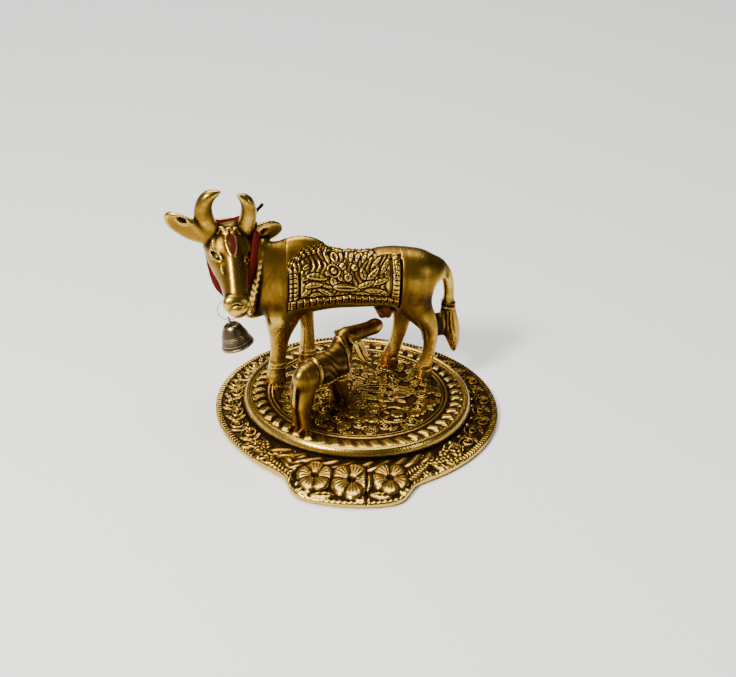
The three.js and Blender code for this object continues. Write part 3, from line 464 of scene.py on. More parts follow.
def metal(name, stops):
    """A cast metal coloured by how dark its tarnish and any painted shade make it. Where a piece has the
    attributes for them, a reddish tinge multiplies the colour, and dull red paint lies over it."""
    material, tree, surface = new_material(name, {"Specular IOR Level": 0.12})
    hollow, reddish, painted = (add_node(tree, "Attribute", {"attribute_name": key})
                                for key in ("hollow", "reddish", "painted"))
    effect = add_node(tree, "Group", {"node_tree": tarnish})
    link(tree, (hollow, "Fac"), (effect, "Hollow and shade"))
    colour = ramp(tree, stops)
    link(tree, (effect, "Dark"), (colour, "Fac"))
    tinged = add_node(tree, "Mix", {"data_type": "RGBA", "blend_type": "MULTIPLY"}, {"B": COPPER_TINGE})
    link(tree, (reddish, "Fac"), (tinged, "Factor"))
    link(tree, (colour, "Color"), (tinged, "A"))
    covered = add_node(tree, "Mix", {"data_type": "RGBA"}, {"B": RED_PAINT})
    link(tree, (painted, "Fac"), (covered, "Factor"))
    link(tree, (tinged, "Result"), (covered, "A"))
    link(tree, (covered, "Result"), (surface, "Base Color"))
    bare = add_node(tree, "Math", {"operation": "SUBTRACT"}, {0: 1})
    link(tree, (painted, "Fac"), (bare, 1))
    link(tree, (bare, "Value"), (surface, "Metallic"))
    dull = add_node(tree, "Math", {"operation": "MULTIPLY_ADD"}, {1: 0.5})
    link(tree, (painted, "Fac"), (dull, 0))
    link(tree, (effect, "Roughness"), (dull, 2))
    link(tree, (dull, "Value"), (surface, "Roughness"))
    link(tree, (effect, "Normal"), (surface, "Normal"))
    return material


gilt = metal("gilt", GILT)
border_grid = border_points(BORDER_COLUMNS)
border_places = border_grid.reshape(-1, 3)
border_quads = grid_quads(*border_grid.shape[:2], True, True)[:, ::-1]
from_middle = np.hypot(border_places[:, 0], border_places[:, 1])
# Painted shade and dark reflection: the flange is darkened on the right, from the front quarter round to the
# back, away from the lamps.
flange_painted_shade = smooth(from_middle, 51.6, 53) * smooth(border_places[:, 0], 30, 46)
flange_painted_shade = 0.42 * flange_painted_shade * smooth(border_places[:, 1], -42, -22)
border = add_piece("plate_border", border_places + plate_centre, border_quads, gilt, fine=2.2,
                   extra={"darkening": flange_painted_shade})
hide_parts("base")

# The field inside the roll is the same casting. A ring of slanting lozenges and two raised lines frame it,
# and it is filled with flowers, medallions and curling stems. One stretch of the lozenges is worn plain.
FIELD_WALL = 3.5
FIELD_COLUMNS = 640
LOZENGES = 48
LOZENGE_RADIUS = 45.1
MEDALLION_AT = (16.4, -20.6)
ROUNDEL_AT = (27.4, -12.9)
BAND_AT = (11.6, 2.0)
MOTIFS = 64
MOTIFS_WITHIN = 37.4
MOTIF_TURN = 2.39996  # the golden angle, which spaces the motifs evenly


def field_motifs():
    """Places of the field's motifs with a direction and a kind for each: a spiral that spaces them evenly
    from the middle outwards, left out where a medallion or the curved band lies."""
    taken = [(MEDALLION_AT, 8.4), (ROUNDEL_AT, 4.6), (BAND_AT, 4.6), ((4.6, 2.4), 3.4), ((18.6, 2.4), 3.4)]
    places = []
    for i in range(MOTIFS):
        radius, angle = MOTIFS_WITHIN * np.sqrt((i + 0.5) / MOTIFS), MOTIF_TURN * i + 0.6
        at = (radius * np.cos(angle), radius * np.sin(angle))
        if all(np.hypot(at[0] - spot[0], at[1] - spot[1]) > reach for spot, reach in taken):
            places.append((at, angle, i % 4))
    return places


def drawn_leaf(x, y, at, length, width, turn):
    """A leaf drawn in raised lines: its outline, its middle rib and slanting veins."""
    along, across = about(x, y, at, turn)
    share = np.clip(1 - (2 * along / length) ** 2, 0, 1)
    ratio = np.abs(across) / (width / 2 * share ** 0.7 + 1e-6)
    outline = bump(ratio - 0.82, 0.5)
    rib = np.exp(-(across / 0.24) ** 2)
    slant = np.cos(2 * np.pi * (along - 0.8 * np.abs(across)) / 1.5)
    veins = 0.55 * (0.5 + 0.5 * slant) ** 2 * (ratio < 0.85)
    lines = np.maximum(np.maximum(outline, rib), veins) * np.minimum(1, 3 * share)
    return np.where((share > 0) & (ratio < 1.1), lines, 0)


def motif(x, y, at, turn, kind):
    """One of four motifs, a flower, a coil, a leaf with a bud or a ringed flower, with three leaves round
    it."""
    if kind == 0:
        shape = flower(x, y, at, 3.7, 5, turn, 25)
    elif kind == 1:
        shape = spiral(x, y, at, 3.6, 1.7, turn, 0.95)
    elif kind == 2:
        shape = np.maximum(drawn_leaf(x, y, at, 8.6, 3.8, turn + 0.5), flower(x, y, at, 1.8, 5, turn))
    else:
        shape = np.maximum(hoop(x, y, at, 2.9, 0.9), flower(x, y, at, 2.2, 6, turn))
    for lean in (0.9, 2.9, 4.9):
        stem = np.array(at) + 4.5 * np.array([np.cos(turn + lean), np.sin(turn + lean)])
        shape = np.maximum(shape, 0.9 * drawn_leaf(x, y, stem, 5.6, 2.5, turn + lean + 1.1))
    return shape


def field_relief(x, y):
    """Height of the field above the table: its level ground, the lozenges, the raised lines, and every
    ornament laid on it by taking the higher."""
    r = np.hypot(x, y)
    relief = 0.5 * bump(r - 40.9, 1.1) + 0.42 * bump(r - 39.1, 0.9) * (1 - 0.5 * smooth(y, -20, 0))
    relief = relief - 0.35 * smooth(r, 41.6, 42.2) * smooth(-r, -48.4, -47.6)
    for i in range(LOZENGES):
        turn = 2 * np.pi * (i + 0.5) / LOZENGES
        worn = 0.25 if -25 < np.degrees(turn) - 270 < 30 else 1.0
        at = (LOZENGE_RADIUS * np.cos(turn), LOZENGE_RADIUS * np.sin(turn))
        near = np.hypot(x - at[0], y - at[1]) < 4.5
        along, across = about(x[near], y[near], at, turn + 0.42)
        bar = np.clip(1 - (along / 3.1) ** 4, 0, 1) * np.clip(1 - (across / 2.0) ** 2, 0, 1) ** 0.7
        crease = 1 - 0.3 * np.exp(-(across / 0.35) ** 2)
        relief[near] = np.maximum(relief[near], worn * (1.15 * bar * crease - 0.35))
    ornaments = np.zeros_like(x)
    for at, turn, kind in field_motifs():
        near = np.hypot(x - at[0], y - at[1]) < 8
        ornaments[near] = np.maximum(ornaments[near], motif(x[near], y[near], at, turn, kind))
    for centre, radius in ((MEDALLION_AT, 6.7), (ROUNDEL_AT, 3.2)):
        inside = smooth(-np.hypot(x - centre[0], y - centre[1]), -radius - 0.8, -radius)
        ornaments = ornaments * (1 - inside) + 1.1 * hoop(x, y, centre, radius - 0.2, 1.1)
    inmost = [flower(x, y, (18.2, -19.4), 3.4, 6, 0.4), leaf(x, y, (13.0, -23.2), 6.0, 2.4, 0.9, 3),
              leaf(x, y, (13.2, -18.2), 4.6, 2.0, 2.4, 3), leaf(x, y, (18.6, -24.6), 5.0, 1.8, 0.2, 3),
              spiral(x, y, ROUNDEL_AT, 2.3, 1.2, 0.8, 0.8), flower(x, y, BAND_AT, 2.2, 6, 0)]
    chord = smooth(-np.abs(x - BAND_AT[0]), -15.2, -14) * (np.abs(y - BAND_AT[1]) < 5)
    for height in (-24.7, 28.7):
        inmost.append(chord * hoop(x, y, (BAND_AT[0], height), 30.7, 0.9))
        inmost.append(chord * hoop(x, y, (BAND_AT[0], height), 28.9, 0.7) * 0.7)
    ornaments = np.maximum.reduce([ornaments, *inmost])
    relief = relief + 0.72 * (ornaments - 0.2) * smooth(-r, -38.8, -38.2)
    seam = smooth(r, 48.0, 48.4)
    return FIELD_HEIGHT + relief * (1 - seam) - 0.1 * seam


def field_points(columns):
    """Points of the field: rings from near its middle out to the roll, then down its hidden edge and in
    under it, with a point at the middle of each face."""
    angles = 2 * np.pi * np.arange(columns) / columns
    below = FIELD_HEIGHT - FIELD_WALL
    rings = [(r, None) for r in np.linspace(0.5, FIELD_RADIUS, 104)]
    rings += [(FIELD_RADIUS, 5.0), (FIELD_RADIUS - 0.05, below), (25, below)]
    grid = []
    for radius, height in rings:
        x, y = radius * np.cos(angles), radius * np.sin(angles)
        z = field_relief(x, y) if height is None else np.full(columns, height)
        grid.append(np.stack([*on_disc(x, y), z], axis=1))
    middle = field_relief(np.zeros(1), np.zeros(1))[0]
    return np.array(grid), np.array([[0, DISC_BACK, middle], [0, DISC_BACK, below]])


def pole_fans(rows, columns, first_pole):
    """Three-sided faces that close a grid's first and last rows on two further points."""
    a = np.arange(columns)
    b = (a + 1) % columns
    last = (rows - 1) * columns
    opening = np.stack([np.full(columns, first_pole), b, a], axis=1)
    closing = np.stack([np.full(columns, first_pole + 1), last + a, last + b], axis=1)
    return np.concatenate([opening, closing])


def closed_grid(grid, poles):
    """The points, quads and triangles of a grid whose columns meet and whose ends close on a point each. The
    faces run from each row to the next, so a grid that goes outwards over the top has them pointing out."""
    rows, columns = grid.shape[:2]
    quads = grid_quads(rows, columns, False, True)[:, ::-1]
    fans = pole_fans(rows, columns, rows * columns)[:, ::-1]
    return np.concatenate([grid.reshape(-1, 3), poles]), quads, fans


field_places, field_quads, field_fans = closed_grid(*field_points(FIELD_COLUMNS))
field = add_piece("plate_field", field_places + plate_centre, field_quads, gilt, field_fans, fine=1.9,
                  broad=0.9, extra={"darkening": 0.05})
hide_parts("base")

# The cow is one casting, gilded as the plate is. Her trunk, neck, legs, tail and head are rounded forms
# carried along lines and run into each other, with smaller features cut or raised on them. Her sizes are
# hundredths of her height: x towards her tail, y towards her right side, z up from her feet.
COW_HEIGHT = 67.5
COW_BACK = 18.45
COW_TURN = np.radians(8.2)
STANDING = FIELD_HEIGHT + 0.3
# Planes of the grid her surface is found on, in millimetres: start, end and step, finer round her head.
COW_GRID = [[(-84.5, -32, 0.37), (-32, 50.5, 0.61)], [(-29.6, 14.4, 0.455)],
            [(-1.2, 44, 0.63), (44, 95, 0.39)]]
FAR_OFF = 6.0
SOLE_DEPTH = 0.6
MARK_RIM_HEIGHT = 0.34
# Forms through stations of place, half width and half depth.
TRUNK = [
    (-67, 0, 58, 6, 9), (-61, 0, 61, 11, 16), (-50, 0, 65, 15, 22), (-36, 0, 68.5, 17, 22),
    (-18, 0, 70.6, 16.6, 21), (4, 0, 70.3, 16.8, 19.9), (24, 0, 71.5, 16.8, 20.5), (40, 0, 70.5, 16, 19.4),
    (49, 0, 73.5, 11.5, 12.5), (55, 0, 78, 5.5, 5),
]
NECK = [
    (-42, 0, 70, 15, 21), (-56, -0.5, 76, 13, 20.6), (-68, -2, 84, 11, 17), (-77, -4, 92, 10, 13),
    (-82, -5, 97, 9, 8.5),
]
DEWLAP = [(-74, -5, 88, 7, 9), (-73, -2, 72, 8, 9), (-70, 0, 58, 8, 10.5), (-67, 0, 48, 5, 8)]
LEGS = [
    [(-46, -5, 60, 8, 14), (-49.4, -8.5, 46, 7, 11.4), (-50.6, -9, 37, 5.6, 8.2), (-51.3, -9, 28, 4.8, 6.2),
     (-52.1, -9, 15, 4.7, 5.5), (-53, -9, 8, 5.4, 6.2), (-53.4, -9, -2, 6.6, 7.6)],
    [(-38, 5, 60, 7, 10), (-34, 8.5, 46, 6, 7), (-31.5, 9, 36, 4.8, 5), (-31, 9, 27, 4.7, 4.8),
     (-30.8, 9, 15, 4.9, 5.4), (-30.6, 9, 8, 5.5, 6.3), (-30.5, 9, -2, 6.6, 7.6)],
    [(35, -4, 68, 9.5, 14), (37, -7, 57, 8.5, 12.6), (45.5, -9, 45, 6.4, 8.4), (50, -9, 36, 5, 5.8),
     (50.8, -9, 25, 4.3, 4.6), (49.4, -9, 13, 4.5, 4.6), (47.8, -9, 8, 5.2, 5.6), (47, -9, -2, 6.2, 6.8)],
    [(32, 4, 64, 9, 13), (34.5, 8, 50, 7, 9), (34, 9, 39, 5.6, 6.6), (33, 9, 30, 4.8, 5.5),
     (29.8, 9, 16, 4.4, 4.8), (27, 9, 8, 5.2, 5.6), (26.2, 9, -2, 6.2, 6.8)],
]
TAIL = [(47, 0, 82.5, 4, 4), (53.5, 0, 80.2, 4, 4), (59, 0, 74.5, 3.8, 4), (62.4, 0, 65, 3.6, 3.7),
        (63.2, 0, 55, 3.4, 3.5), (63.4, 0, 50, 4.2, 4.4), (64, 0, 42, 5, 5.6), (66.4, 0, 32, 4.8, 6),
        (68.8, 0, 22, 3.8, 4), (69.7, 0, 14.5, 1.8, 1.6)]
TAIL_WEB = [(49, -7, 36, 4, 9), (56, -4, 36.5, 2.6, 9), (63.5, -1, 36, 3.2, 8.5)]
TAIL_GAP = (54.8, 0, 59.2)
TAIL_GAP_HALF = (5, 22, 13.3)
GARLAND = [
    (-62, -1, 97.5, 3, 2.6), (-62.6, -1, 94, 8.2, 3.4), (-63.6, -0.5, 88, 11.8, 3.8), (-65, 0, 79, 13.4, 4),
    (-66.6, 0, 69, 13.4, 4), (-68, 0, 60, 12.4, 3.8), (-69.2, 0, 53, 9.8, 3.4), (-69.6, 0, 48.8, 5.4, 2.6),
]
# The hump, the udder with two teats, and the haunches: middle, half sizes and fillet.
COW_LUMPS = [
    ((-36.5, 0, 84), (21, 8, 17), 3.0), ((20, 0, 50.6), (7.5, 7.5, 9), 1.6),
    ((17.2, -3, 42.8), (1.7, 1.7, 2.8), 0.6), ((22.8, -3, 42.8), (1.7, 1.7, 2.8), 0.6),
    ((38.4, -8.5, 64), (10.6, 7, 16), 3.0), ((37, 8, 65), (10.6, 7, 15), 3.0),
]
# Hooves: x, y and how far each reaches forwards from there.
HOOVES = [(-53.2, -9, 7.6), (-30.5, 9, 7.6), (47.2, -9, 6.8), (26.4, 9, 6.8)]
CROWN = (-83.1, -3.4, 113.5)
HEAD_TURN = np.radians(6.8)
HEAD_ROLL = np.radians(6)
NOSE_DROP = np.radians(47)
NOSE_SWING = 0.1
MUZZLE_PAD = (4.6, -33.6, -42.6)
PAD_LEAN = np.radians(12)
# Stations of the face: along the nose, out of the forehead, half width, half depth.
SKULL = [
    (-4, -14, 6, 4), (0, -13, 10.5, 7), (6, -11, 13.6, 11), (14, -11.5, 15.2, 13.5), (24, -11.5, 12.8, 12.5),
    (34, -10, 9.6, 10.5), (44, -8.3, 7.9, 8.6), (52, -7.4, 7.7, 7.4), (56.5, -6.6, 7, 6),
    (58.5, -6.4, 4.6, 4),
]
NOSE_BRIDGE = [(14, -1, 4, 3), (24, -0.6, 4.6, 3.4), (35, -1.4, 4.8, 3.4), (48, -2.6, 4.8, 3)]
# Locks of the forelock: along the nose, out of the forehead, sideways, half width, half depth.
FORELOCK = [
    (8.4, -3.4, -12.4, 0.8, 0.9), (6.6, -1.4, -9.6, 1.1, 1.1), (9.4, -0.2, -7.4, 1.1, 1.1),
    (5.8, 0, -5, 1.2, 1.2), (10.4, 1.2, -2.8, 1.2, 1.2), (6.2, 0.8, -0.6, 1.2, 1.2), (10, 1.2, 1.6, 1.1, 1.1),
    (5.8, 0.2, 3.6, 1.1, 1.1), (9, 0.4, 5.8, 1.0, 1.0), (6, -1.6, 7.8, 0.8, 0.9),
]
HORN_NEAR = [
    (-11, -1, -8, 6.5, 6.5), (-15, -2.5, 0, 6.3, 6.3), (-16.8, -4, 9, 5.5, 5.5),
    (-14.2, -5.5, 16.6, 4.2, 4.2), (-7.8, -7, 20.6, 1.4, 1.4),
]
HORN_FAR = [(10, 0, -8, 6, 6), (12, -1, 0, 5.5, 5.5), (12.2, -2, 8, 4.9, 4.9), (9.6, -3, 14.6, 4, 4),
            (4.2, -4, 18.2, 1.4, 1.4)]
EAR_NEAR = [(-8, -3, -12, 5, 4), (-16, -4, -9.5, 6.4, 3.6), (-24, -3, -6.2, 8, 3), (-32, -0.5, -3, 7.6, 2.4),
            (-36.6, 1.6, -1.8, 6.2, 2.2), (-38.8, 2.4, -2, 3.4, 1.4)]
EAR_FAR = [(8, 0, -10, 4, 4), (15, 1, -9, 5.6, 3.6), (22, 3, -8.2, 7.8, 3), (29, 5.5, -7.8, 7.8, 2.4),
           (34, 7.5, -8, 5.6, 1.8), (36.4, 8.5, -8.2, 2.4, 1.2)]
# Hollows of the ears: middle, half sizes, and tilt in radians.
EAR_HOLLOWS = [((-31.5, -4.6, 0.9), (8.6, 1.3, 1.8), 0.3), ((26.5, 0.4, -7.2), (7.6, 1.1, 2.2), 0.04)]
# Rings over the fore hooves: x, y and half width, at two heights.
LEG_RINGS = [(-52.3, -9, 5.9), (-30.8, 9, 5.9)]
LEG_RING_HEIGHTS = (13.6, 11.2)
cow_unit = COW_HEIGHT / 100
LENGTHWAYS = np.array([1.0, 0.0, 0.0])
ACROSS = np.array([0.0, 1.0, 0.0])
UPRIGHT = np.array([0.0, 0.0, 1.0])


def curve(stations, steps):
    """A smooth line through stations of a place and any sizes: a centripetal Catmull-Rom curve, with the
    given number of steps between neighbours."""
    s = np.array(stations, dtype=float)
    p = np.vstack([2 * s[0] - s[1], s, 2 * s[-1] - s[-2]])
    gaps = np.maximum(np.linalg.norm(np.diff(p[:, :3], axis=0), axis=1), 1e-4) ** 0.5
    t = (np.arange(steps) / steps)[:, None]
    spans = []
    for i in range(len(s) - 1):
        p0, p1, p2, p3 = p[i:i + 4]
        d0, d1, d2 = gaps[i:i + 3]
        leave = ((p1 - p0) / d0 - (p2 - p0) / (d0 + d1) + (p2 - p1) / d1) * d1
        arrive = ((p2 - p1) / d1 - (p3 - p1) / (d1 + d2) + (p3 - p2) / d2) * d1
        spans.append(p1 * (2 * t ** 3 - 3 * t ** 2 + 1) + p2 * (3 * t ** 2 - 2 * t ** 3)
                     + leave * (t ** 3 - 2 * t ** 2 + t) + arrive * (t ** 3 - t ** 2))
    return np.concatenate(spans + [s[-1:]])


def line_frames(line, side):
    """Unit directions along a line, across it near the given side, and at right angles to both."""
    along = np.gradient(line[:, :3], axis=0)
    along /= np.linalg.norm(along, axis=1)[:, None]
    across = side - (along @ side)[:, None] * along
    across /= np.linalg.norm(across, axis=1)[:, None]
    return along, across, np.cross(along, across)


def block(grid, low, high):
    """The slices of a grid's three axes that a box covers."""
    return tuple(slice(*np.searchsorted(axis, (a, b))) for axis, a, b in zip(grid, low, high))


def spread(grid, part):
    """The coordinates of a block of the grid, each along its own axis, ready to be added together."""
    return grid[0][part[0], None, None], grid[1][None, part[1], None], grid[2][None, None, part[2]]


def blend(field, part, distance, soft):
    """Joins a form to the field over a block of it, with a fillet about as wide as soft."""
    held = field[part]
    share = np.clip(0.5 + 0.5 * (held - distance) / soft, 0, 1)
    field[part] = held + (distance - held) * share - soft * share * (1 - share)


def carve(field, part, distance, soft=0.3):
    """Takes a form out of the field over a block of it."""
    held = field[part]
    share = np.clip(0.5 + 0.5 * (held + distance) / soft, 0, 1)
    field[part] = -distance + (held + distance) * share + soft * share * (1 - share)


def limb_distance(grid, line, side, reach, ribs=0, rise=0.0):
    """The block of the grid round a limb, and the distance there to its surface: an ellipse carried along
    the line, its width across and its depth at right angles. Ribs are flat rings with narrow grooves
    between."""
    _, across, depth = line_frames(line, side)
    room = line[:, 3:5].max(axis=1)[:, None] + rise + reach
    part = block(grid, (line[:, :3] - room).min(axis=0), (line[:, :3] + room).max(axis=0))
    shape = tuple(p.stop - p.start for p in part)
    best = np.full(shape, reach, dtype=np.float32)
    sizes = line[:, 3:5] + (rise * (1 - np.cos(np.pi * ribs * np.linspace(0, 1, len(line))) ** 6))[:, None]
    for j in range(len(line) - 1):
        p, q = line[j, :3], line[j + 1, :3]
        margin = sizes[j:j + 2].max() + reach
        inner = tuple(slice(max(i.start, o.start), min(i.stop, o.stop)) for i, o in
                      zip(block(grid, np.minimum(p, q) - margin, np.maximum(p, q) + margin), part))
        local = tuple(slice(i.start - o.start, i.stop - o.start) for i, o in zip(inner, part))
        x, y, z = spread(grid, inner)
        step = q - p
        travel = (x - p[0]) * step[0] + (y - p[1]) * step[1] + (z - p[2]) * step[2]
        share = np.clip(travel / (step @ step), 0, 1)
        ex, ey, ez = x - p[0] - share * step[0], y - p[1] - share * step[1], z - p[2] - share * step[2]
        directions = (across[j], depth[j], step / np.linalg.norm(step))
        u, w, s = (ex * d[0] + ey * d[1] + ez * d[2] for d in directions)
        for held, d in ((u, across[j + 1] - across[j]), (w, depth[j + 1] - depth[j])):
            held += share * (ex * d[0] + ey * d[1] + ez * d[2])
        wide = sizes[j, 0] + share * (sizes[j + 1, 0] - sizes[j, 0])
        deep = sizes[j, 1] + share * (sizes[j + 1, 1] - sizes[j, 1])
        end = np.minimum(wide, deep)
        ratio = np.sqrt((u / wide) ** 2 + (w / deep) ** 2 + (s / end) ** 2)
        slope = np.sqrt((u / wide ** 2) ** 2 + (w / deep ** 2) ** 2 + (s / end ** 2) ** 2) + 1e-6
        best[local] = np.minimum(best[local], ratio * (ratio - 1) / slope)
    return part, best


def lump_distance(grid, at, half, axes=np.eye(3), reach=3.0):
    """The block of the grid round an ellipsoid with the given half sizes along its axes, and the distance
    there."""
    at, half = np.array(at, dtype=float), np.array(half, dtype=float)
    room = np.sqrt(((axes * half) ** 2).sum(axis=1)) + reach
    part = block(grid, at - room, at + room)
    x, y, z = (c - a for c, a in zip(spread(grid, part), at))
    local = [x * axis[0] + y * axis[1] + z * axis[2] for axis in axes.T]
    ratio = np.sqrt(sum((c / h) ** 2 for c, h in zip(local, half)))
    slope = np.sqrt(sum((c / h ** 2) ** 2 for c, h in zip(local, half))) + 1e-6
    return part, ratio * (ratio - 1) / slope


def raise_limb(grid, field, stations, side, steps, soft, reach=1.2, ribs=0, rise=0.0):
    """Joins a limb through stations to the field, with so many steps from each to the next."""
    part, distance = limb_distance(grid, curve(stations, steps), side, reach, ribs, rise)
    blend(field, part, distance, soft)


def groove(grid, field, stations, side=ACROSS, steps=4, soft=0.25):
    """A narrow cut along a line of stations."""
    part, distance = limb_distance(grid, curve(stations, steps), side, 1.2)
    carve(field, part, distance, soft)


def raise_lump(grid, field, at, half, soft, axes=np.eye(3), reach=3.0):
    """Joins an ellipsoid to the field."""
    part, distance = lump_distance(grid, at, half, axes, reach)
    blend(field, part, distance, soft)


def cut_lump(grid, field, at, half, soft, axes=np.eye(3), reach=3.0):
    """Cuts an ellipsoid out of the field."""
    part, distance = lump_distance(grid, at, half, axes, reach)
    carve(field, part, distance, soft)


def softened(field, rounds):
    """The field with small creases evened out: each round is a weighted mean with the next values on each
    axis."""
    for _ in range(rounds):
        for axis in range(3):
            whole = np.moveaxis(field, axis, 0)
            whole[1:-1] = 0.5 * whole[1:-1] + 0.25 * (whole[:-2] + whole[2:])
    return field


def sampled(grid, field, points):
    """The field's values at points, from the eight grid values round each."""
    cell, share = [], []
    for axis, places in zip(grid, np.moveaxis(points, -1, 0)):
        at = np.clip(np.searchsorted(axis, places) - 1, 0, len(axis) - 2)
        cell.append(at)
        share.append((places - axis[at]) / (axis[at + 1] - axis[at]))
    total = np.zeros(points.shape[:-1])
    for i, j, k in np.ndindex(2, 2, 2):
        weight = np.abs(1 - i - share[0]) * np.abs(1 - j - share[1]) * np.abs(1 - k - share[2])
        total += weight * field[cell[0] + i, cell[1] + j, cell[2] + k]
    return total


def surface_reach(grid, field, starts, directions, furthest, step=0.2):
    """How far the surface lies from each start, which is inside, along its direction."""
    reach = np.arange(step, furthest, step)
    values = sampled(grid, field, starts[..., None, :] + reach[:, None] * directions[..., None, :])
    last = len(reach) - 1 - np.argmax((values < 0)[..., ::-1], axis=-1)
    last = np.minimum(last, len(reach) - 2)
    here, there = (np.take_along_axis(values, (last + i)[..., None], axis=-1)[..., 0] for i in (0, 1))
    return reach[last] + step * np.clip(here / np.where(here == there, 1, here - there), 0, 1)


def polygonise(grid, field):
    """The surface where the field is zero as points and quads: one point in each cell that the surface
    crosses, at the mean of the crossings of its edges, and one quad across each crossed edge."""
    inside = field < 0
    cells = tuple(n - 1 for n in field.shape)
    count = np.zeros(cells, dtype=np.int8)
    corners = [(i, j, k) for i in (0, 1) for j in (0, 1) for k in (0, 1)]
    for i, j, k in corners:
        count += inside[i:i + cells[0], j:j + cells[1], k:k + cells[2]]
    cell = np.array(np.nonzero((count > 0) & (count < 8)))
    number = np.full(cells, -1, dtype=np.int64)
    number[tuple(cell)] = np.arange(cell.shape[1])
    total, crossings = np.zeros((cell.shape[1], 3)), np.zeros(cell.shape[1])
    for a in corners:
        for axis in range(3):
            if a[axis]:
                continue
            first = cell + np.array(a)[:, None]
            second = first.copy()
            second[axis] += 1
            va, vb = field[tuple(first)].astype(float), field[tuple(second)].astype(float)
            crossed = (va < 0) != (vb < 0)
            share = np.where(crossed, va / np.where(crossed, va - vb, 1), 0)
            place = [grid[m][first[m]] for m in range(3)]
            place[axis] = place[axis] + share * (grid[axis][second[axis]] - grid[axis][first[axis]])
            total += np.stack(place, axis=1) * crossed[:, None]
            crossings += crossed
    points = total / crossings[:, None]
    quads = []
    for axis in range(3):
        low = tuple(slice(0, -1) if m == axis else slice(1, -1) for m in range(3))
        high = tuple(slice(1, None) if m == axis else slice(1, -1) for m in range(3))
        edge = np.array(np.nonzero(inside[low] != inside[high]))
        outward = inside[low][tuple(edge)]
        b, c = (axis + 1) % 3, (axis + 2) % 3
        edge[b] += 1
        edge[c] += 1
        ring = []
        for db, dc in ((1, 1), (0, 1), (0, 0), (1, 0)):
            near = edge.copy()
            near[b] -= db
            near[c] -= dc
            ring.append(number[tuple(near)])
        ring = np.stack(ring, axis=1)
        quads.append(np.where(outward[:, None], ring, ring[:, ::-1]))
    return points, np.concatenate(quads)


def eased(points, quads, rounds=3):
    """The points with the steps of the grid smoothed out: each round moves them towards their neighbours'
    mean and then almost as far back, so that the form keeps its size."""
    edges = np.concatenate([quads[:, [0, 1]], quads[:, [1, 2]], quads[:, [2, 3]], quads[:, [3, 0]]])
    for amount in (0.55, -0.57) * rounds:
        points = points + amount * (neighbour_mean(points, edges, len(points)) - points)
    return points


def turn_matrix(angle, first, second):
    """A turn by an angle from the first axis towards the second, as a matrix."""
    matrix = np.eye(3)
    matrix[first, first] = matrix[second, second] = np.cos(angle)
    matrix[first, second] = -np.sin(angle)
    matrix[second, first] = np.sin(angle)
    return matrix


head_axes = turn_matrix(HEAD_TURN, 0, 1) @ turn_matrix(HEAD_ROLL, 2, 0)
NOSE = np.array([NOSE_SWING, -np.cos(NOSE_DROP), -np.sin(NOSE_DROP)])
BROW = np.array([0, -np.sin(NOSE_DROP), np.cos(NOSE_DROP)])


def on_head(points):
    """Points of the head's frame, sizes after them kept, in the cow's frame in millimetres."""
    points = np.atleast_2d(np.array(points, dtype=float))
    places = np.array(CROWN) + points[:, :3] @ head_axes.T
    return cow_unit * np.concatenate([places, points[:, 3:]], axis=1)


def on_face(stations):
    """Stations given along the nose, out of the forehead, (sideways,) and sizes, in the head's frame."""
    rows = []
    for along, out, *rest in stations:
        sideways = rest.pop(0) if len(rest) == 3 else 0
        rows.append([*(along * NOSE + out * BROW + sideways * np.array([1, 0, 0])), *rest])
    return rows


def cow_limbs():
    """Each form of the cow: stations in millimetres, side direction, steps, fillet, ribs and their rise."""
    body = [(TRUNK, 2.5), (NECK, 3.0), (DEWLAP, 2.5)] + [(leg, 2.0) for leg in LEGS]
    body += [(TAIL, 0.8), (TAIL_WEB, 1.6)]
    forms = [(cow_unit * np.array(stations), ACROSS, 4, soft, 0, 0) for stations, soft in body]
    face = [(SKULL, 1.6), (NOSE_BRIDGE, 1.2)]
    forms += [(on_head(on_face(stations)), head_axes @ LENGTHWAYS, 4, soft, 0, 0) for stations, soft in face]
    ear_rise = head_axes @ np.array([0, -0.3, 1.0])
    forms += [(on_head(ear), ear_rise, 5, 1.2, 0, 0) for ear in (EAR_NEAR, EAR_FAR)]
    forms += [(on_head(horn), ACROSS, 8, 0.7, 9, 0.04) for horn in (HORN_NEAR, HORN_FAR)]
    return forms


def head_ornaments():
    """What is raised on the head and the neck once the large forms have been joined, in the same terms:
    brows, the locks of the forelock and the ribbed garland."""
    forms = []
    for side, reach in ((-1, 11.2), (1, 11.0)):
        brow = [(9, -1.2, side * (reach - 3.2), 0.7, 0.6), (13, -2, side * (reach - 0.8), 1.0, 0.9),
                (17, -3.6, side * (reach + 0.2), 1.0, 0.9), (21, -6.2, side * (reach - 0.2), 0.7, 0.6)]
        forms.append((on_head(on_face(brow)), head_axes @ LENGTHWAYS, 4, 1.0, 0, 0))
    forms.append((on_head(on_face(FORELOCK)), head_axes @ BROW, 4, 0.5, 0, 0))
    forms.append((cow_unit * np.array(GARLAND), ACROSS, 16, 0.3, 14, 0.6))
    return forms


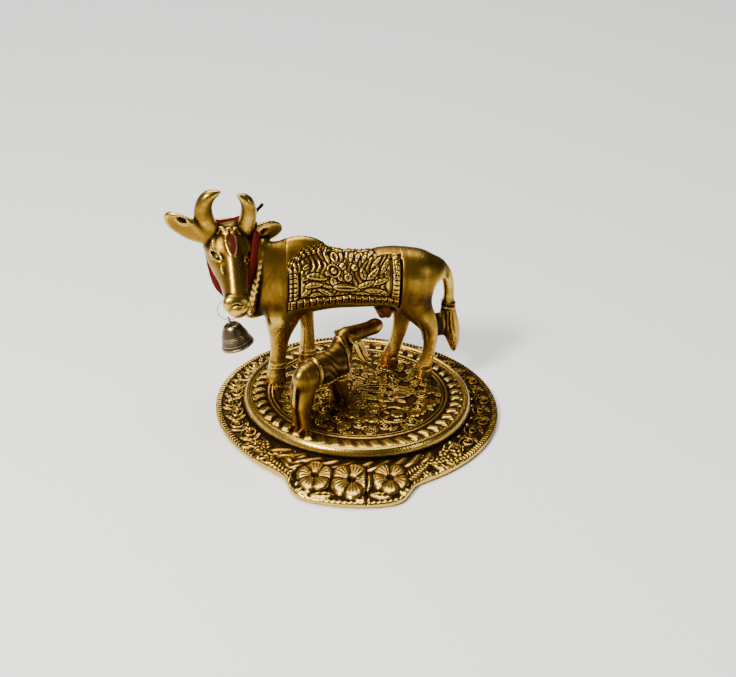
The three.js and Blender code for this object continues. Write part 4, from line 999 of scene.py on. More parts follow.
def add_eye(grid, field, at, side):
    """An almond eye: a dark slit round a small ball, between two thin lids, that runs down towards the nose.
    It lies on the surface, where a line from the middle of the head through the given place leaves it."""
    nose = head_axes @ NOSE / np.linalg.norm(NOSE)
    out = head_axes @ np.array([side * 0.74, -0.62, 0.1])
    out = out - (out @ nose) * nose
    out /= np.linalg.norm(out)
    inside = on_head([at])[0] - 4 * out
    centre = inside + (surface_reach(grid, field, inside, out, 9.0) - 0.6) * out
    long = nose - 0.75 * side * np.cross(out, nose) * np.sign(np.cross(out, nose) @ head_axes[:, 0])
    long /= np.linalg.norm(long)
    rise = np.cross(out, long)
    rise *= np.sign(rise @ head_axes[:, 0]) * -side
    axes = np.stack([long, rise, out], axis=1)
    cut_lump(grid, field, centre + 0.5 * out, (3.1, 1.25, 1.3), 0.3, axes, 2.0)
    raise_lump(grid, field, centre - 0.5 * out, (1.5, 0.75, 0.8), 0.1, axes, 2.0)
    for lid, gap, thick in ((1, 1.6, 0.5), (-1, 1.4, 0.3)):
        bow = [centre + (0.15 - 0.5 * a * a) * out + a * long * 3.6 + lid * rise * gap * (1 - 0.5 * a * a)
               for a in np.linspace(-1, 1, 5)]
        raise_limb(grid, field, [[*place, thick, thick] for place in bow], out, 3, 0.4, 1.0)


def add_muzzle(grid, field):
    """The muzzle's raised pad with the mouth cut across it, a little inside its surface."""
    middle = on_head([MUZZLE_PAD])[0]
    axes = head_axes @ turn_matrix(-PAD_LEAN, 1, 2)
    raise_lump(grid, field, middle, cow_unit * np.array((8.9, 4.3, 6.9)), 0.25, axes)
    slit = []
    for x, z, r in ((-3, -0.9, 0.25), (-1.4, 0.1, 0.4), (0.2, 0.2, 0.5), (1.8, -0.2, 0.4), (3, 0.4, 0.25)):
        inside = middle + cow_unit * (x * axes[:, 0] + z * axes[:, 2])
        face = inside + (surface_reach(grid, field, inside, -axes[:, 1], 9.0) - 0.15) * -axes[:, 1]
        slit.append([*face, r, r])
    groove(grid, field, slit, head_axes @ ACROSS)


def mark_place(x, y, z):
    """How far a place lies inside the outline of the mark on the forehead, a drop that is wide above and
    narrow below, and how far to the side of its middle line, both in hundredths of her height."""
    local = [sum(head_axes[k, m] * (c / cow_unit - CROWN[k]) for k, c in enumerate((x, y, z)))
             for m in range(3)]
    along = sum(local[m] * NOSE[m] for m in range(3)) / (NOSE @ NOSE)
    across = local[0] - NOSE_SWING * along + 0.2
    share = np.clip((along - 17.6) / 8, -1, 1)
    width = 2.9 * (1 - share ** 2) ** 0.5 * (1 - 0.3 * share)
    front = sum(local[m] * BROW[m] for m in range(3)) > -8
    return np.where((np.abs(share) < 1) & front, width - np.abs(across), -4.0), across


def mark_rim(x, y, z):
    """The raised gold outline of the mark: 1 on the outline and 0 a little inside and outside."""
    return bump(mark_place(x, y, z)[0] + 0.5, 1.9)


def add_head_details(grid, field):
    """The eyes, the muzzle, the ears' hollows, a fold below one eye and the raised rim of the mark."""
    add_eye(grid, field, (-7.6, -12.6, -19.4), -1)
    add_eye(grid, field, (12.4, -12.2, -19.6), 1)
    add_muzzle(grid, field)
    for at, half, tilt in EAR_HOLLOWS:
        axes = head_axes @ turn_matrix(tilt, 2, 0)
        cut_lump(grid, field, on_head([at])[0], cow_unit * np.array(half), 0.5, axes)
    tear = [(31, 1.2, -8.4, 0.8, 0.8), (34, 0.6, -8.2, 1.2, 1.0), (36.5, 0, -7.6, 0.5, 0.5)]
    raise_limb(grid, field, on_head(on_face(tear)), head_axes @ ACROSS, 4, 0.2)
    brow = block(grid, on_head([(-8, -24, -26)])[0], on_head([(8, 2, 4)])[0])
    field[brow] = field[brow] - MARK_RIM_HEIGHT * mark_rim(*spread(grid, brow))


def add_hooves(grid, field):
    """The cleft of each hoof and the line where the hoof begins."""
    for x, y, reach in HOOVES:
        cleft = [(x - (reach + 0.4), y, -1, 0.5, 0.5), (x - (reach - 0.4), y, 3, 0.5, 0.5),
                 (x - (reach - 1.6), y, 7, 0.3, 0.3)]
        groove(grid, field, cow_unit * np.array(cleft), LENGTHWAYS, 3)
        coronet = [(x + (reach - 0.9) * np.cos(a), y + (reach - 1.9) * np.sin(a), 7.6, 0.35, 0.35)
                   for a in np.linspace(0, 2 * np.pi, 13)]
        groove(grid, field, cow_unit * np.array(coronet), UPRIGHT, 2)


def add_tail_details(grid, field):
    """Two rings where the tail's lock begins, and the grooves between its strands."""
    for z in (51.6, 48.6):
        ring = [(63.3 + 5.2 * np.cos(a), 5 * np.sin(a), z - 0.6 * np.cos(a), 0.5, 0.5)
                for a in np.linspace(0, 2 * np.pi, 11)]
        raise_limb(grid, field, cow_unit * np.array(ring), UPRIGHT, 2, 0.3)
    for side in (-1, 1):
        for x0, x1 in ((61.2, 63.0), (63.4, 66.2), (65.8, 69.4)):
            strand = [(x0, side * 4.6, 46, 0.5, 0.5), (x0 + 0.7, side * 5.2, 38, 0.8, 0.8),
                      (x1 - 0.6, side * 5.2, 29, 0.8, 0.8), (x1 + 0.6, side * 3.2, 20, 0.4, 0.4)]
            groove(grid, field, cow_unit * np.array(strand))


def add_leg_details(grid, field):
    """The fold over the haunch beside the tail, and two raised lines down the hind leg."""
    arch = [(48.5, -8.5, 60, 0.9, 0.9), (48.6, -9.5, 68, 0.9, 0.9), (51.5, -6.2, 76.5, 0.9, 0.9),
            (56, -4.6, 78.8, 0.8, 0.8)]
    groove(grid, field, cow_unit * np.array(arch), ACROSS, 4, 0.8)
    for edge in (0.9, 3.4):
        shin = [(33 + edge, -14.6, 52, 0.5, 0.5), (38.8 + edge, -13.6, 45, 0.8, 0.8),
                (43 + edge, -13, 36, 0.8, 0.8), (45 + edge, -12, 26, 0.5, 0.5)]
        raise_limb(grid, field, cow_unit * np.array(shin), ACROSS, 4, 0.5)


def empty_grid(spans):
    """A grid from spans of planes along each axis, set end to end, and a field on it that holds nothing
    yet."""
    grid = tuple(np.concatenate([np.arange(*span) for span in axis]) for axis in spans)
    return grid, np.full(tuple(len(axis) for axis in grid), FAR_OFF, dtype=np.float32)


def level_soles(grid, field):
    """Cuts the feet level, a little below the ground they stand on."""
    soles = block(grid, (-90, -30, -2), (60, 20, 3))
    field[soles] = np.maximum(field[soles], -SOLE_DEPTH - spread(grid, soles)[2])


def cow_field():
    """The cow as distances on a grid in her own frame: the forms are joined and evened out, and then the
    rings, eyes, mouth, ears, hooves, tail and folds are raised or cut."""
    grid, field = empty_grid(COW_GRID)
    for stations, side, steps, soft, ribs, rise in cow_limbs():
        raise_limb(grid, field, stations, side, steps, soft, max(2.0, soft), ribs, rise)
    for at, half, soft in COW_LUMPS:
        raise_lump(grid, field, cow_unit * np.array(at), cow_unit * np.array(half), soft)
    cut_lump(grid, field, cow_unit * np.array(TAIL_GAP), cow_unit * np.array(TAIL_GAP_HALF), 0.6)
    for stations in (TAIL, TAIL_WEB):
        raise_limb(grid, field, cow_unit * np.array(stations), ACROSS, 4, 0.7, 2.0)
    poll_axes = head_axes @ np.stack([LENGTHWAYS, NOSE / np.linalg.norm(NOSE), BROW], axis=1)
    poll = on_head(on_face([(-6, -7, -2.5, 1, 1)]))[0, :3]
    cut_lump(grid, field, poll, cow_unit * np.array((8, 7.6, 6.4)), 0.9, poll_axes)
    field = softened(field, 4)
    for stations, side, steps, soft, ribs, rise in head_ornaments():
        raise_limb(grid, field, stations, side, steps, soft, 1.6, ribs, rise)
    for x, y, half in LEG_RINGS:
        for z in LEG_RING_HEIGHTS:
            sizes = cow_unit * np.array((half + 0.5, half - 0.2, 1.1))
            raise_lump(grid, field, cow_unit * np.array((x, y, z)), sizes, 0.35)
    add_head_details(grid, field)
    add_hooves(grid, field)
    add_tail_details(grid, field)
    add_leg_details(grid, field)
    level_soles(grid, field)
    return grid, field


def forehead_paint(points):
    """Where the red mark is painted: 1 inside the drop on the forehead and 0 outside, rubbed away on one
    side."""
    inside, across = mark_place(*points.T)
    rubbed = smooth(across + 0.9 * np.sin(1.7 * points[:, 2]), -2.4, -1.2)
    return smooth(inside, 0.1, 0.7) * (0.35 + 0.65 * rubbed)


def cow_to_row(points):
    """Points of the cow's frame, in millimetres, in the row's frame."""
    place = np.array([-COW_BACK * np.sin(COW_TURN), COW_BACK * np.cos(COW_TURN), STANDING])
    return points @ turn_matrix(COW_TURN, 0, 1).T + place + plate_centre


cow_grid, cow_values = cow_field()

# The saddlecloth is carved in the cow's own casting, nearly flush with her back: blocks along its front and
# lower edge, an upright band at the rear, and on each side a lotus between leaf fronds. Its places are
# hundredths of her height: s along her back, d down her side from the ridge of her back.
CLOTH_FROM = -47.8
CLOTH_TO = 30.8
CLOTH_BED = 1.6
CLOTH_ROWS = 226
CLOTH_COLUMNS = 270
CLOTH_GROUND = -0.55
CLOTH_TUCK = -1.3
CLOTH_FLUSH = 0.02
HEM_WIDTH = 8.4
CLOTH_STATIONS = (-46, -32, -18.4, -5.2, 8, 18.7, 29)
CLOTH_EDGE = (52, 51.5, 45.5, 42.6, 44, 46.6, 49.5)
CLOTH_EDGE_HEIGHT = (52.6, 53.6, 56, 56.7, 56, 54.6, 52)
# Leaves and petals between the borders: s, d, length, width, turn in degrees, height, veins.
CLOTH_LEAVES = [
    (-8.7, 29.4, 16.5, 7, 0, 0.55, 0), (-8.7, 27.2, 11, 3.2, 0, 0.8, 0), (-7.2, 21.8, 6.4, 5.4, 90, 0.6, 0),
    (-12.4, 22.6, 4.6, 3, 60, 0.55, 0), (-16.6, 25.6, 6.4, 5, 80, 0.6, 0), (2.6, 19.2, 8.5, 4.8, 75, 0.6, 3),
    (-27.5, 26.2, 14, 5.2, -12, 0.6, 5), (-29.5, 32.4, 13, 4.4, -24, 0.55, 5),
    (-34, 38.5, 9, 4.2, -50, 0.55, 4), (-22, 34.8, 11, 4.4, 6, 0.55, 4), (-28, 39, 9, 3.4, -30, 0.5, 4),
    (-20.5, 30, 8, 3, -10, 0.5, 3), (-33.8, 21, 6.5, 3.2, -35, 0.5, 3), (-34.5, 28.6, 6.5, 3, -20, 0.5, 3),
    (4.5, 26.6, 12, 4.6, -20, 0.6, 5), (8.6, 20.4, 12.5, 4.6, -44, 0.6, 5),
    (13.6, 25.6, 11, 4.4, -14, 0.55, 4), (9.6, 31.6, 12, 4.4, 8, 0.55, 4), (15.6, 33.6, 7, 3.4, 35, 0.5, 3),
    (16.8, 15.5, 11.5, 3.4, -62, 0.6, 4), (11.4, 12, 10, 3.2, -48, 0.55, 4), (1.6, 33.2, 8, 3, -8, 0.5, 3),
    (-15.6, 8.6, 9, 5.6, 80, 0.6, 0), (-11.4, 8, 8.5, 3.2, 85, 0.5, 0), (-4.6, 7.2, 8.5, 3.6, 98, 0.55, 3),
    (-0.4, 7.4, 8, 3.4, 105, 0.5, 3), (3.8, 8.2, 7.6, 3.2, 112, 0.5, 3), (7.2, 5.8, 9.5, 3, -45, 0.5, 3),
    (-20.6, 10.2, 9, 3.6, 68, 0.55, 3), (-25, 9.6, 8.4, 3, 60, 0.5, 3), (-13.6, 0.6, 9, 3.6, 30, 0.5, 3),
    (-5.4, 0.2, 8, 3, 0, 0.45, 3), (3.8, 0.4, 8, 3, -12, 0.45, 3),
]
# Balls: s, d, width, height.
CLOTH_BALLS = [
    (-10.6, 14.6, 5.2, 0.65), (-2.8, 15.2, 5, 0.65), (-16.4, 18.2, 4.6, 0.6), (-8.6, 18.4, 2.6, 0.5),
    (-20.8, 21.4, 3, 0.5),
]
# Pits: s, d, size.
CLOTH_PITS = [
    (-31.2, 18.6, 1.5), (-27.4, 17, 1.5), (-23.2, 16, 1.4), (-15.6, 8.6, 1.2), (-37.2, 15.6, 0.9),
    (-33.8, 12.8, 0.9), (-30.4, 10.6, 0.9), (-27, 8.2, 0.9), (-40.4, 18.4, 0.9), (-9, 4.6, 1.1),
]


def cloth_top(s):
    """How far down the side the cloth begins: along the foot of the hump, and right over the back behind
    it."""
    return np.interp(s, (-47, -41, -37.8, -33, -27, -22, -19.5), (19, 14, 10.5, 8, 5, 0, -9))


def cloth_pattern(s, d):
    """What stands on the cloth's ground between its borders: a faint ripple, leaves and balls that each
    clear a narrow space round them, two hoops, and slanting folds along the ridge."""
    shape = 0.12 + 0.1 * np.cos(1.9 * s + 2.6 * np.sin(0.42 * d + 0.11 * s))
    shape = np.maximum(shape, 0.6 * hoop(s, d, (-15.6, 8.2), 5.0, 1.5) * (d < 14))
    for at_s, at_d, length, width, turn, tall, veins in CLOTH_LEAVES[::-1]:
        at, angle = (at_s, at_d), np.radians(turn)
        shape = shape * smooth(-leaf(s, d, at, length + 1.8, width + 1.8, angle), -0.35, -0.1)
        shape = np.maximum(shape, 1.25 * tall * leaf(s, d, at, length, width, angle, veins))
    for at_s, at_d, size, tall in CLOTH_BALLS:
        away = np.hypot(s - at_s, d - at_d)
        shape = shape * smooth(away, 0.5 * size, 0.5 * size + 0.9)
        shape = np.maximum(shape, 1.2 * tall * bump(away, size) ** 0.5)
    fold = bump((s + 23.5 + 0.32 * d + 2.4) % 4.8 - 2.4, 3.8) * smooth(s, -27, -25.5) * smooth(-s, 19.8, 21)
    fold = fold * smooth(-d, -9, -6)
    return np.maximum.reduce([shape, 0.6 * hoop(s, d, (-16.4, 18.2), 3.9, 1.4), 0.9 * fold])


def cloth_cuts(s, d, hem):
    """Depth of the dark lines: behind the front border, over the hem, before and behind the rear band, and
    pits."""
    over_hem = smooth(-d, -hem - 1, -hem + 1)
    cuts = [bump(s + 38.4, 2.3) * smooth(d, 23, 26) * over_hem,
            0.8 * bump(d - hem, 2.1) * smooth(s, -40, -38) * smooth(-s, -23, -21),
            1.7 * bump(s - 21.2, 2.5) * smooth(d, 8.5, 11) * over_hem,
            0.4 * bump(s - 22.2 - 0.004 * d * d, 1.4) * smooth(d, 9, 12) * smooth(-d, -30, -26)]
    cuts += [0.6 * np.exp(-((s - at_s) / size) ** 2 - ((d - at_d) / (1.7 * size)) ** 2)
             for at_s, at_d, size in CLOTH_PITS]
    return np.maximum.reduce(cuts)


def cloth_relief(s, d):
    """Height of the cloth's carving over her own surface, in millimetres: the pattern on its sunken ground,
    then the front border, the row of cells along the top, the rear band and the hem of blocks laid over it,
    then the dark lines cut, and last the edges lowered to meet her skin."""
    edge = np.interp(s, CLOTH_STATIONS, CLOTH_EDGE)
    hem = edge - HEM_WIDTH
    below_top = d - cloth_top(s)
    blocks = 1 - bump((s - 21.4) % 4.25 - 2.125, 1.3) ** 0.6
    lower = -0.42 + 0.8 * blocks * smooth(d, hem + 0.6, hem + 1.6) * smooth(-d, -edge + 0.5, -edge + 1.5)
    columns = np.maximum(bump(s + 44.2, 3.2), bump(s + 41.2, 3.0)) * (1 - bump(d % 3.3 - 1.65, 1.5))
    front = -0.42 + 0.75 * columns
    rear = -0.35 + 0.7 * bump(s - 24.6, 6.4) * (1 - 0.9 * bump(d % 3.4 - 1.7, 1.2))
    cells = -0.05 + 0.3 * np.cos(2 * np.pi * s / 3.2) * np.cos(2 * np.pi * below_top / 4.4)
    height = mix(CLOTH_GROUND + cloth_pattern(s, d), front, smooth(-s, 38.9, 39.4))
    height = mix(height, cells, smooth(-below_top, -5.4, -5.0) * smooth(-s, 19, 23))
    height = mix(height, rear, smooth(s, 21.4, 22))
    height = mix(height, lower, smooth(d, hem - 0.2, hem + 0.4)) - cloth_cuts(s, d, hem)
    plain = np.maximum.reduce([smooth(-below_top, -0.4, 0.4), smooth(s, 10, 14) * smooth(-d, -8.6, -6.4),
                               smooth(s, 27.4, 28.4) * smooth(-d, -12, -10)])
    height = height * (1 - plain) + CLOTH_FLUSH * plain
    beyond = np.maximum.reduce([smooth(s, 28.0, 29.0), smooth(-s, 45.6, 46.4), smooth(d - edge, -0.4, 0.6)])
    outline = np.maximum.reduce([1.7 * bump(s - 27.8, 2.5) * smooth(d, 10, 12.5),
                                 0.95 * bump(s + 46.0, 2.3) * smooth(d, 24, 29),
                                 0.9 * bump(d - edge, 2.3) * smooth(s, -47, -46) * smooth(-s, -29, -28)])
    dive = np.maximum.reduce([smooth(-s, 45.4, 47.8), smooth(s, 28.4, 30.8), smooth(d - edge, 1.4, 2.4)])
    return mix(height, CLOTH_FLUSH, beyond) - outline - 0.16 * dive


def round_the_trunk(columns_along, columns_round):
    """The cow's surface over the cloth's reach, found on the finished form: places along the back, angles
    about the trunk's middle line, and how far out the surface lies there."""
    along = np.linspace(CLOTH_FROM, CLOTH_TO, columns_along) * cow_unit
    angle = np.linspace(np.radians(245), np.radians(-65), columns_round)
    middle = np.interp(along / cow_unit, (-50, -36, -18, 4, 24, 40), (66, 68.5, 69.6, 69.6, 71, 70.5))
    middle = cow_unit * middle
    starts = np.stack(np.broadcast_arrays(along[:, None], 0.0, middle[:, None] + 0 * angle), axis=-1)
    heads = np.stack(np.broadcast_arrays(0.0 * along[:, None], np.cos(angle), np.sin(angle)), axis=-1)
    reach = surface_reach(cow_grid, cow_values, starts, heads, 27)
    for _ in range(5):
        reach[1:-1] = 0.5 * reach[1:-1] + 0.25 * (reach[:-2] + reach[2:])
        reach[:, 1:-1] = 0.5 * reach[:, 1:-1] + 0.25 * (reach[:, :-2] + reach[:, 2:])
    return along, angle, middle, reach


def cloth_points(rows, columns, table):
    """Rings of points round the trunk, each over the back from edge to edge and home through the trunk's
    middle, and a point inside each end. The first and last rings and the ends of each are tucked into the
    body."""
    along, angle, middle, reach = table
    places = [[CLOTH_FROM], np.linspace(CLOTH_FROM, CLOTH_TO, rows - 2), [CLOTH_TO]]
    places = cow_unit * np.concatenate(places)
    share = np.linspace(-1, 1, columns)
    rings = []
    for i, place in enumerate(places):
        out = np.array([np.interp(place, along, column) for column in reach.T])
        centre = np.interp(place, along, middle)
        y, z = out * np.cos(angle), out * np.sin(angle)
        drop = np.concatenate([[0], np.cumsum(np.hypot(np.diff(y), np.diff(z)))])
        drop = (drop - np.interp(-np.pi / 2, -angle, drop)) / cow_unit
        s = place / cow_unit
        d = share * (np.interp(s, CLOTH_STATIONS, CLOTH_EDGE) + 2.6)
        turn = np.interp(d, drop, angle)
        height = cloth_relief(np.full(columns, s), np.abs(d))
        height[[0, -1]] = CLOTH_TUCK
        if i in (0, rows - 1):
            height = np.minimum(height, CLOTH_TUCK)
        far = np.interp(d, drop, out) + height
        ring = np.stack([np.full(columns, place), far * np.cos(turn), centre + far * np.sin(turn)], axis=1)
        home = np.linspace(0, 1, 9)[1:-1, None]
        rings.append(np.concatenate([ring, ring[-1] + home * (ring[0] - ring[-1])]))
    rings = np.array(rings)
    ends = np.stack([rings[0].mean(axis=0), rings[-1].mean(axis=0)])
    return rings, ends


def bed_the_cloth(grid, field):
    """Lowers the cow's own surface under the cloth, so that its carving may lie below her skin."""
    part = block(grid, cow_unit * np.array((-50, -30, 45)), cow_unit * np.array((34, 30, 110)))
    x, y, z = (c / cow_unit for c in spread(grid, part))
    lowest = np.interp(x, CLOTH_STATIONS, CLOTH_EDGE_HEIGHT)
    under = smooth(x, -46.6, -44.6) * smooth(-x, -29.6, -27.6) * smooth(z, lowest - 0.4, lowest + 1.6)
    field[part] = field[part] + CLOTH_BED * under * (field[part] > -3)


def unpolish(piece, share):
    """Takes the bright wear off a piece's hidden edges, in the given share at each point."""
    depths = np.empty(len(share), dtype=np.float32)
    held = piece.data.attributes["hollow"].data
    held.foreach_get("value", depths)
    held.foreach_set("value", (depths + np.maximum(0, 0.5 - depths) * share).astype(np.float32))


trunk_table = round_the_trunk(columns_along=90, columns_round=160)
cloth_rings, cloth_ends = cloth_points(CLOTH_ROWS, CLOTH_COLUMNS, trunk_table)
bed_the_cloth(cow_grid, cow_values)
cow_points, cow_quads = polygonise(cow_grid, cow_values)
cow_points = eased(cow_points, cow_quads)
cow_x, cow_y, cow_z = (cow_points / cow_unit).T
from_udder = np.hypot(cow_points[:, 0] - 13.5, cow_points[:, 1])
udder = 0.7 * smooth(-from_udder, -6.5, -5) * smooth(-cow_points[:, 2], -35, -33)
poll = on_head(on_face([(-5, -1, -2.5, 1, 1)]))[0, :3]
# Painted shade darkens her hindquarters and hind legs below the back, the hollow between the horns and her
# far side. The tips of her horns are darker too, and her near fore leg is lighter below the shoulder.
cow_painted_shade = 0.24 * smooth(cow_x, 24, 34) * smooth(-cow_z, -76, -60)
cow_painted_shade += 0.4 * smooth(-np.linalg.norm(cow_points - poll, axis=1), -6.2, -4.8)
cow_painted_shade += 0.2 * smooth(cow_z, 114, 122) + 0.05 * smooth(cow_y, 0, 6)
cow_painted_shade -= 0.13 * bump(cow_x + 52, 14) * smooth(-cow_z, -58, -46) * smooth(-cow_y, 0, 3)
cow = add_piece("cow_body", cow_to_row(cow_points), cow_quads, gilt,
                extra={"painted": forehead_paint(cow_points), "reddish": udder, "darkening": cow_painted_shade})
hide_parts("cow")
at_ledge = np.maximum(bump(cow_x + 46.4, 9), bump(cow_x - 28.9, 9)) * smooth(cow_z, 46, 50)
under_ledge = bump(cow_z - np.interp(cow_x, CLOTH_STATIONS, CLOTH_EDGE_HEIGHT), 8)
under_ledge = under_ledge * smooth(cow_x, -49, -47) * smooth(-cow_x, -32, -30)
unpolish(cow, np.minimum(1, 2.5 * np.maximum(at_ledge, under_ledge)))
cloth_places, cloth_quads, cloth_fans = closed_grid(cloth_rings, cloth_ends)
saddlecloth = add_piece("saddlecloth", cow_to_row(cloth_places), cloth_quads, gilt, cloth_fans, fine=4,
                        broad=1.5, extra={"darkening": 0.06})
row, column = np.indices(cloth_rings.shape[:2])
from_edge = np.minimum.reduce([row, CLOTH_ROWS - 1 - row, column, CLOTH_COLUMNS - 1 - column])
unpolish(saddlecloth, np.append(smooth(-from_edge.ravel(), -8, -4), [1, 1]))
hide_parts("cow")

# The calf is a small casting of its own, fixed at the cow's udder. It has a carved cloth over its back and
# long drooping ears, and its forms are softer and plainer than hers. Its sizes are hundredths of its own
# height: x from its rump to its head, y to its left, z up.
CALF_HEIGHT = 36.0
CALF_TURN = np.radians(53)
CALF_SHORTENING = 0.96  # its length is drawn in towards its nose
MUZZLE_AT = (13.4, -17.2)
CALF_GRID = [[(-22.5, 40.5, 0.34)], [(-8, 8, 0.34)], [(-1.2, 37, 0.34)]]
CALF_TRUNK = [(-50, 0, 60, 6, 9), (-44, 0, 62, 11.5, 16), (-26, 0, 62.5, 13, 18.4), (0, 0, 61, 13.6, 19.6),
              (20, 0, 62, 13.6, 20.4), (34, 0, 69, 10, 16), (41, 0, 76, 8, 10)]
CALF_HIND_LEG = [(-36, 5, 60, 9, 14), (-42, 6.2, 44, 8.8, 11.4), (-45, 6, 30, 7.8, 9), (-43.4, 6, 14, 7, 7.8),
                 (-42.2, 6.4, 6, 7, 7.8), (-42, 6.8, -3, 7.6, 8.6)]
CALF_LEGS = [
    CALF_HIND_LEG, [(x, -y, *rest) for x, y, *rest in CALF_HIND_LEG],
    [(22, 5, 58, 9, 13), (24, 9, 42, 7.4, 8.6), (27, 9.6, 28, 5.6, 6), (32, 9.4, 14, 5, 5.4),
     (36, 9, 5, 5.6, 6.4), (37.4, 9, -3, 6.8, 7.6)],
    [(18, -5, 56, 9, 13), (20, -9, 42, 8, 9.4), (24, -10, 28, 6, 6.5), (31, -9.6, 14, 5, 5.4),
     (36, -9, 5, 5.6, 6.4), (37.4, -9, -3, 6.8, 7.6)],
]
CALF_HEAD = [
    (28, 0, 70, 11, 15), (36, 3, 80, 9, 13), (42, 5, 85, 9.6, 12), (56, 4, 84, 9.4, 11.4),
    (72, 2, 83, 8.8, 10.4), (86, 0, 82.6, 8.4, 9.8), (97, -1, 82.4, 8.8, 10.4), (103, -2, 82, 6.6, 7.8),
]
CALF_EAR_NEAR = [(41, -1, 89, 5, 4), (46, -11, 84, 7.4, 3), (51, -14, 72, 9.2, 2.6), (57, -16, 58, 8.2, 2.2),
                 (61.5, -16.5, 48, 4, 1.4)]
CALF_EAR_FAR = [(39, 8, 89, 3.8, 3), (37, 12, 91, 4.2, 2.6), (35.5, 16, 91.5, 1.8, 1.2)]
CALF_TAIL = [(-51, 0, 66, 2.4, 2.4), (-54.5, 0, 58, 2.2, 2.2), (-55.5, 1, 44, 2.2, 2.2),
             (-54.5, 2, 33, 3.0, 3.0), (-53.5, 2, 26, 1.0, 1.0)]
# The haunches, a shoulder and the belly: middle, half sizes and fillet.
CALF_LUMPS = [((-37, 6.5, 55), (9, 6, 14), 1.6), ((-37, -6.5, 55), (9, 6, 14), 1.6),
              ((21, -9, 55), (8, 6, 13), 1.4), ((-5, -8, 50), (14, 6, 8), 1.6)]
calf_unit = CALF_HEIGHT / 100


def calf_cloth_relief(x, z):
    """The calf's carved cloth as a height in millimetres over its back: raised hems at the front, the back
    and along the flanks, and slanting folds between them. Sizes are hundredths of its height."""
    over = smooth(x, -25.5, -24.5) * smooth(-x, -31, -30)
    down = 62 - z
    within = over * smooth(-down, -15.5, -14.5)
    hems = bump(x + 22, 4.5) + bump(x - 27.5, 4.5) + bump(down - 12.0, 6) * (1 - 0.9 * bump(x % 6 - 3, 2.4))
    folds = 0.5 + 0.5 * np.cos(2 * np.pi * (x * 0.07 - down * 0.09 + 0.3 * np.sin(0.21 * x)))
    edge = bump(x + 25.6, 2.6) + bump(x - 31, 2.6) + bump(down - 15.6, 2.2) * over
    raised = within * (0.25 + 0.5 * np.minimum(1, hems) + 0.14 * folds * (hems < 0.2))
    return raised - 0.6 * np.minimum(1, edge) * (z > 44)


def calf_field():
    """The calf as distances on a grid in its own frame: the forms are joined and evened out, and then the
    cloth, the ears' veins, tail, eyes, hooves and lips are raised or cut."""
    grid, field = empty_grid(CALF_GRID)
    ear_width = np.array([1.0, 0, 0.3]) / np.hypot(1, 0.3)
    forms = [(CALF_TRUNK, ACROSS, 1.6), (CALF_HEAD, ACROSS, 1.4)] + [(leg, ACROSS, 1.2) for leg in CALF_LEGS]
    forms += [(CALF_EAR_NEAR, ear_width, 0.5), (CALF_EAR_FAR, ear_width, 0.5)]
    for stations, side, soft in forms:
        raise_limb(grid, field, calf_unit * np.array(stations), side, 4, soft, 1.6)
    for at, half, soft in CALF_LUMPS:
        raise_lump(grid, field, calf_unit * np.array(at), calf_unit * np.array(half), soft)
    field = softened(field, 2)
    back = block(grid, calf_unit * np.array((-34, -24, 40)), calf_unit * np.array((40, 24, 92)))
    x, _, z = (c / calf_unit for c in spread(grid, back))
    field[back] = field[back] - calf_cloth_relief(x, z) * smooth(-x, -34, -31)
    for i in range(4):
        vein = [(43 + 2.6 * i, -14.5 - 0.6 * i, 86 - 5 * i, 0.7, 0.7),
                (48 + 1.7 * i, -17.0 - 0.4 * i, 72 - 3 * i, 1.0, 1.0),
                (57 + 0.6 * i, -18.6, 57 - i, 0.5, 0.5)]
        groove(grid, field, calf_unit * np.array(vein), ear_width, 4, 0.2)
    raise_limb(grid, field, calf_unit * np.array(CALF_TAIL), ACROSS, 4, 0.6)
    for side in (-1, 1):
        eye = calf_unit * np.array((66.0, 3 + side * 7.0, 89.0))
        raise_lump(grid, field, eye, calf_unit * np.array((2.2, 1.3, 1.5)), 0.2)
        for x, y in ((-42, 7), (37.4, 9)):
            cleft = [(x + 8.6, side * y, -1, 0.6, 0.6), (x + 7.4, side * y, 5, 0.6, 0.6)]
            groove(grid, field, calf_unit * np.array(cleft), LENGTHWAYS, 3)
    lips = [(104, 3.5, 82, 0.6, 0.6), (108.4, -2, 81.4, 0.8, 0.8), (103, -8, 82, 0.6, 0.6)]
    groove(grid, field, calf_unit * np.array(lips), UPRIGHT)
    level_soles(grid, field)
    return grid, field


def calf_to_row(points):
    """Points of the calf's frame, in millimetres, in the row's frame: its nose is held at a place beside the
    udder, and its length is drawn in towards it."""
    nose = calf_unit * np.array([*CALF_HEAD[-1][:2], 0])
    held = cow_to_row(cow_unit * np.array([*MUZZLE_AT, 0])[None])[0]
    return (points - nose) * (CALF_SHORTENING, 1, 1) @ turn_matrix(CALF_TURN, 0, 1).T + held


calf_grid, calf_values = calf_field()
calf_points, calf_quads = polygonise(calf_grid, calf_values)
calf_points = eased(calf_points, calf_quads)
calf_x, calf_y, calf_z = calf_points.T
warm = np.maximum(smooth(-calf_z, -24, -12) * smooth(calf_x, -16, -6), smooth(calf_x, 12, 20))
warm = 0.7 * smooth(calf_y, -4.2, -3) * warm
# Painted shadow: the calf stands in the cow's shadow and is darkened all over, more towards its head, and its
# near ear is painted lighter where the light reaches it.
shaded = 0.14 + 0.06 * smooth(calf_x, -10, 14)
shaded -= 0.2 * smooth(-calf_y / calf_unit, 7, 10) * smooth(calf_x / calf_unit, 38, 43)
calf = add_piece("calf_body", calf_to_row(calf_points), calf_quads, gilt,
                 extra={"reddish": warm, "darkening": shaded})
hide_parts("calf")

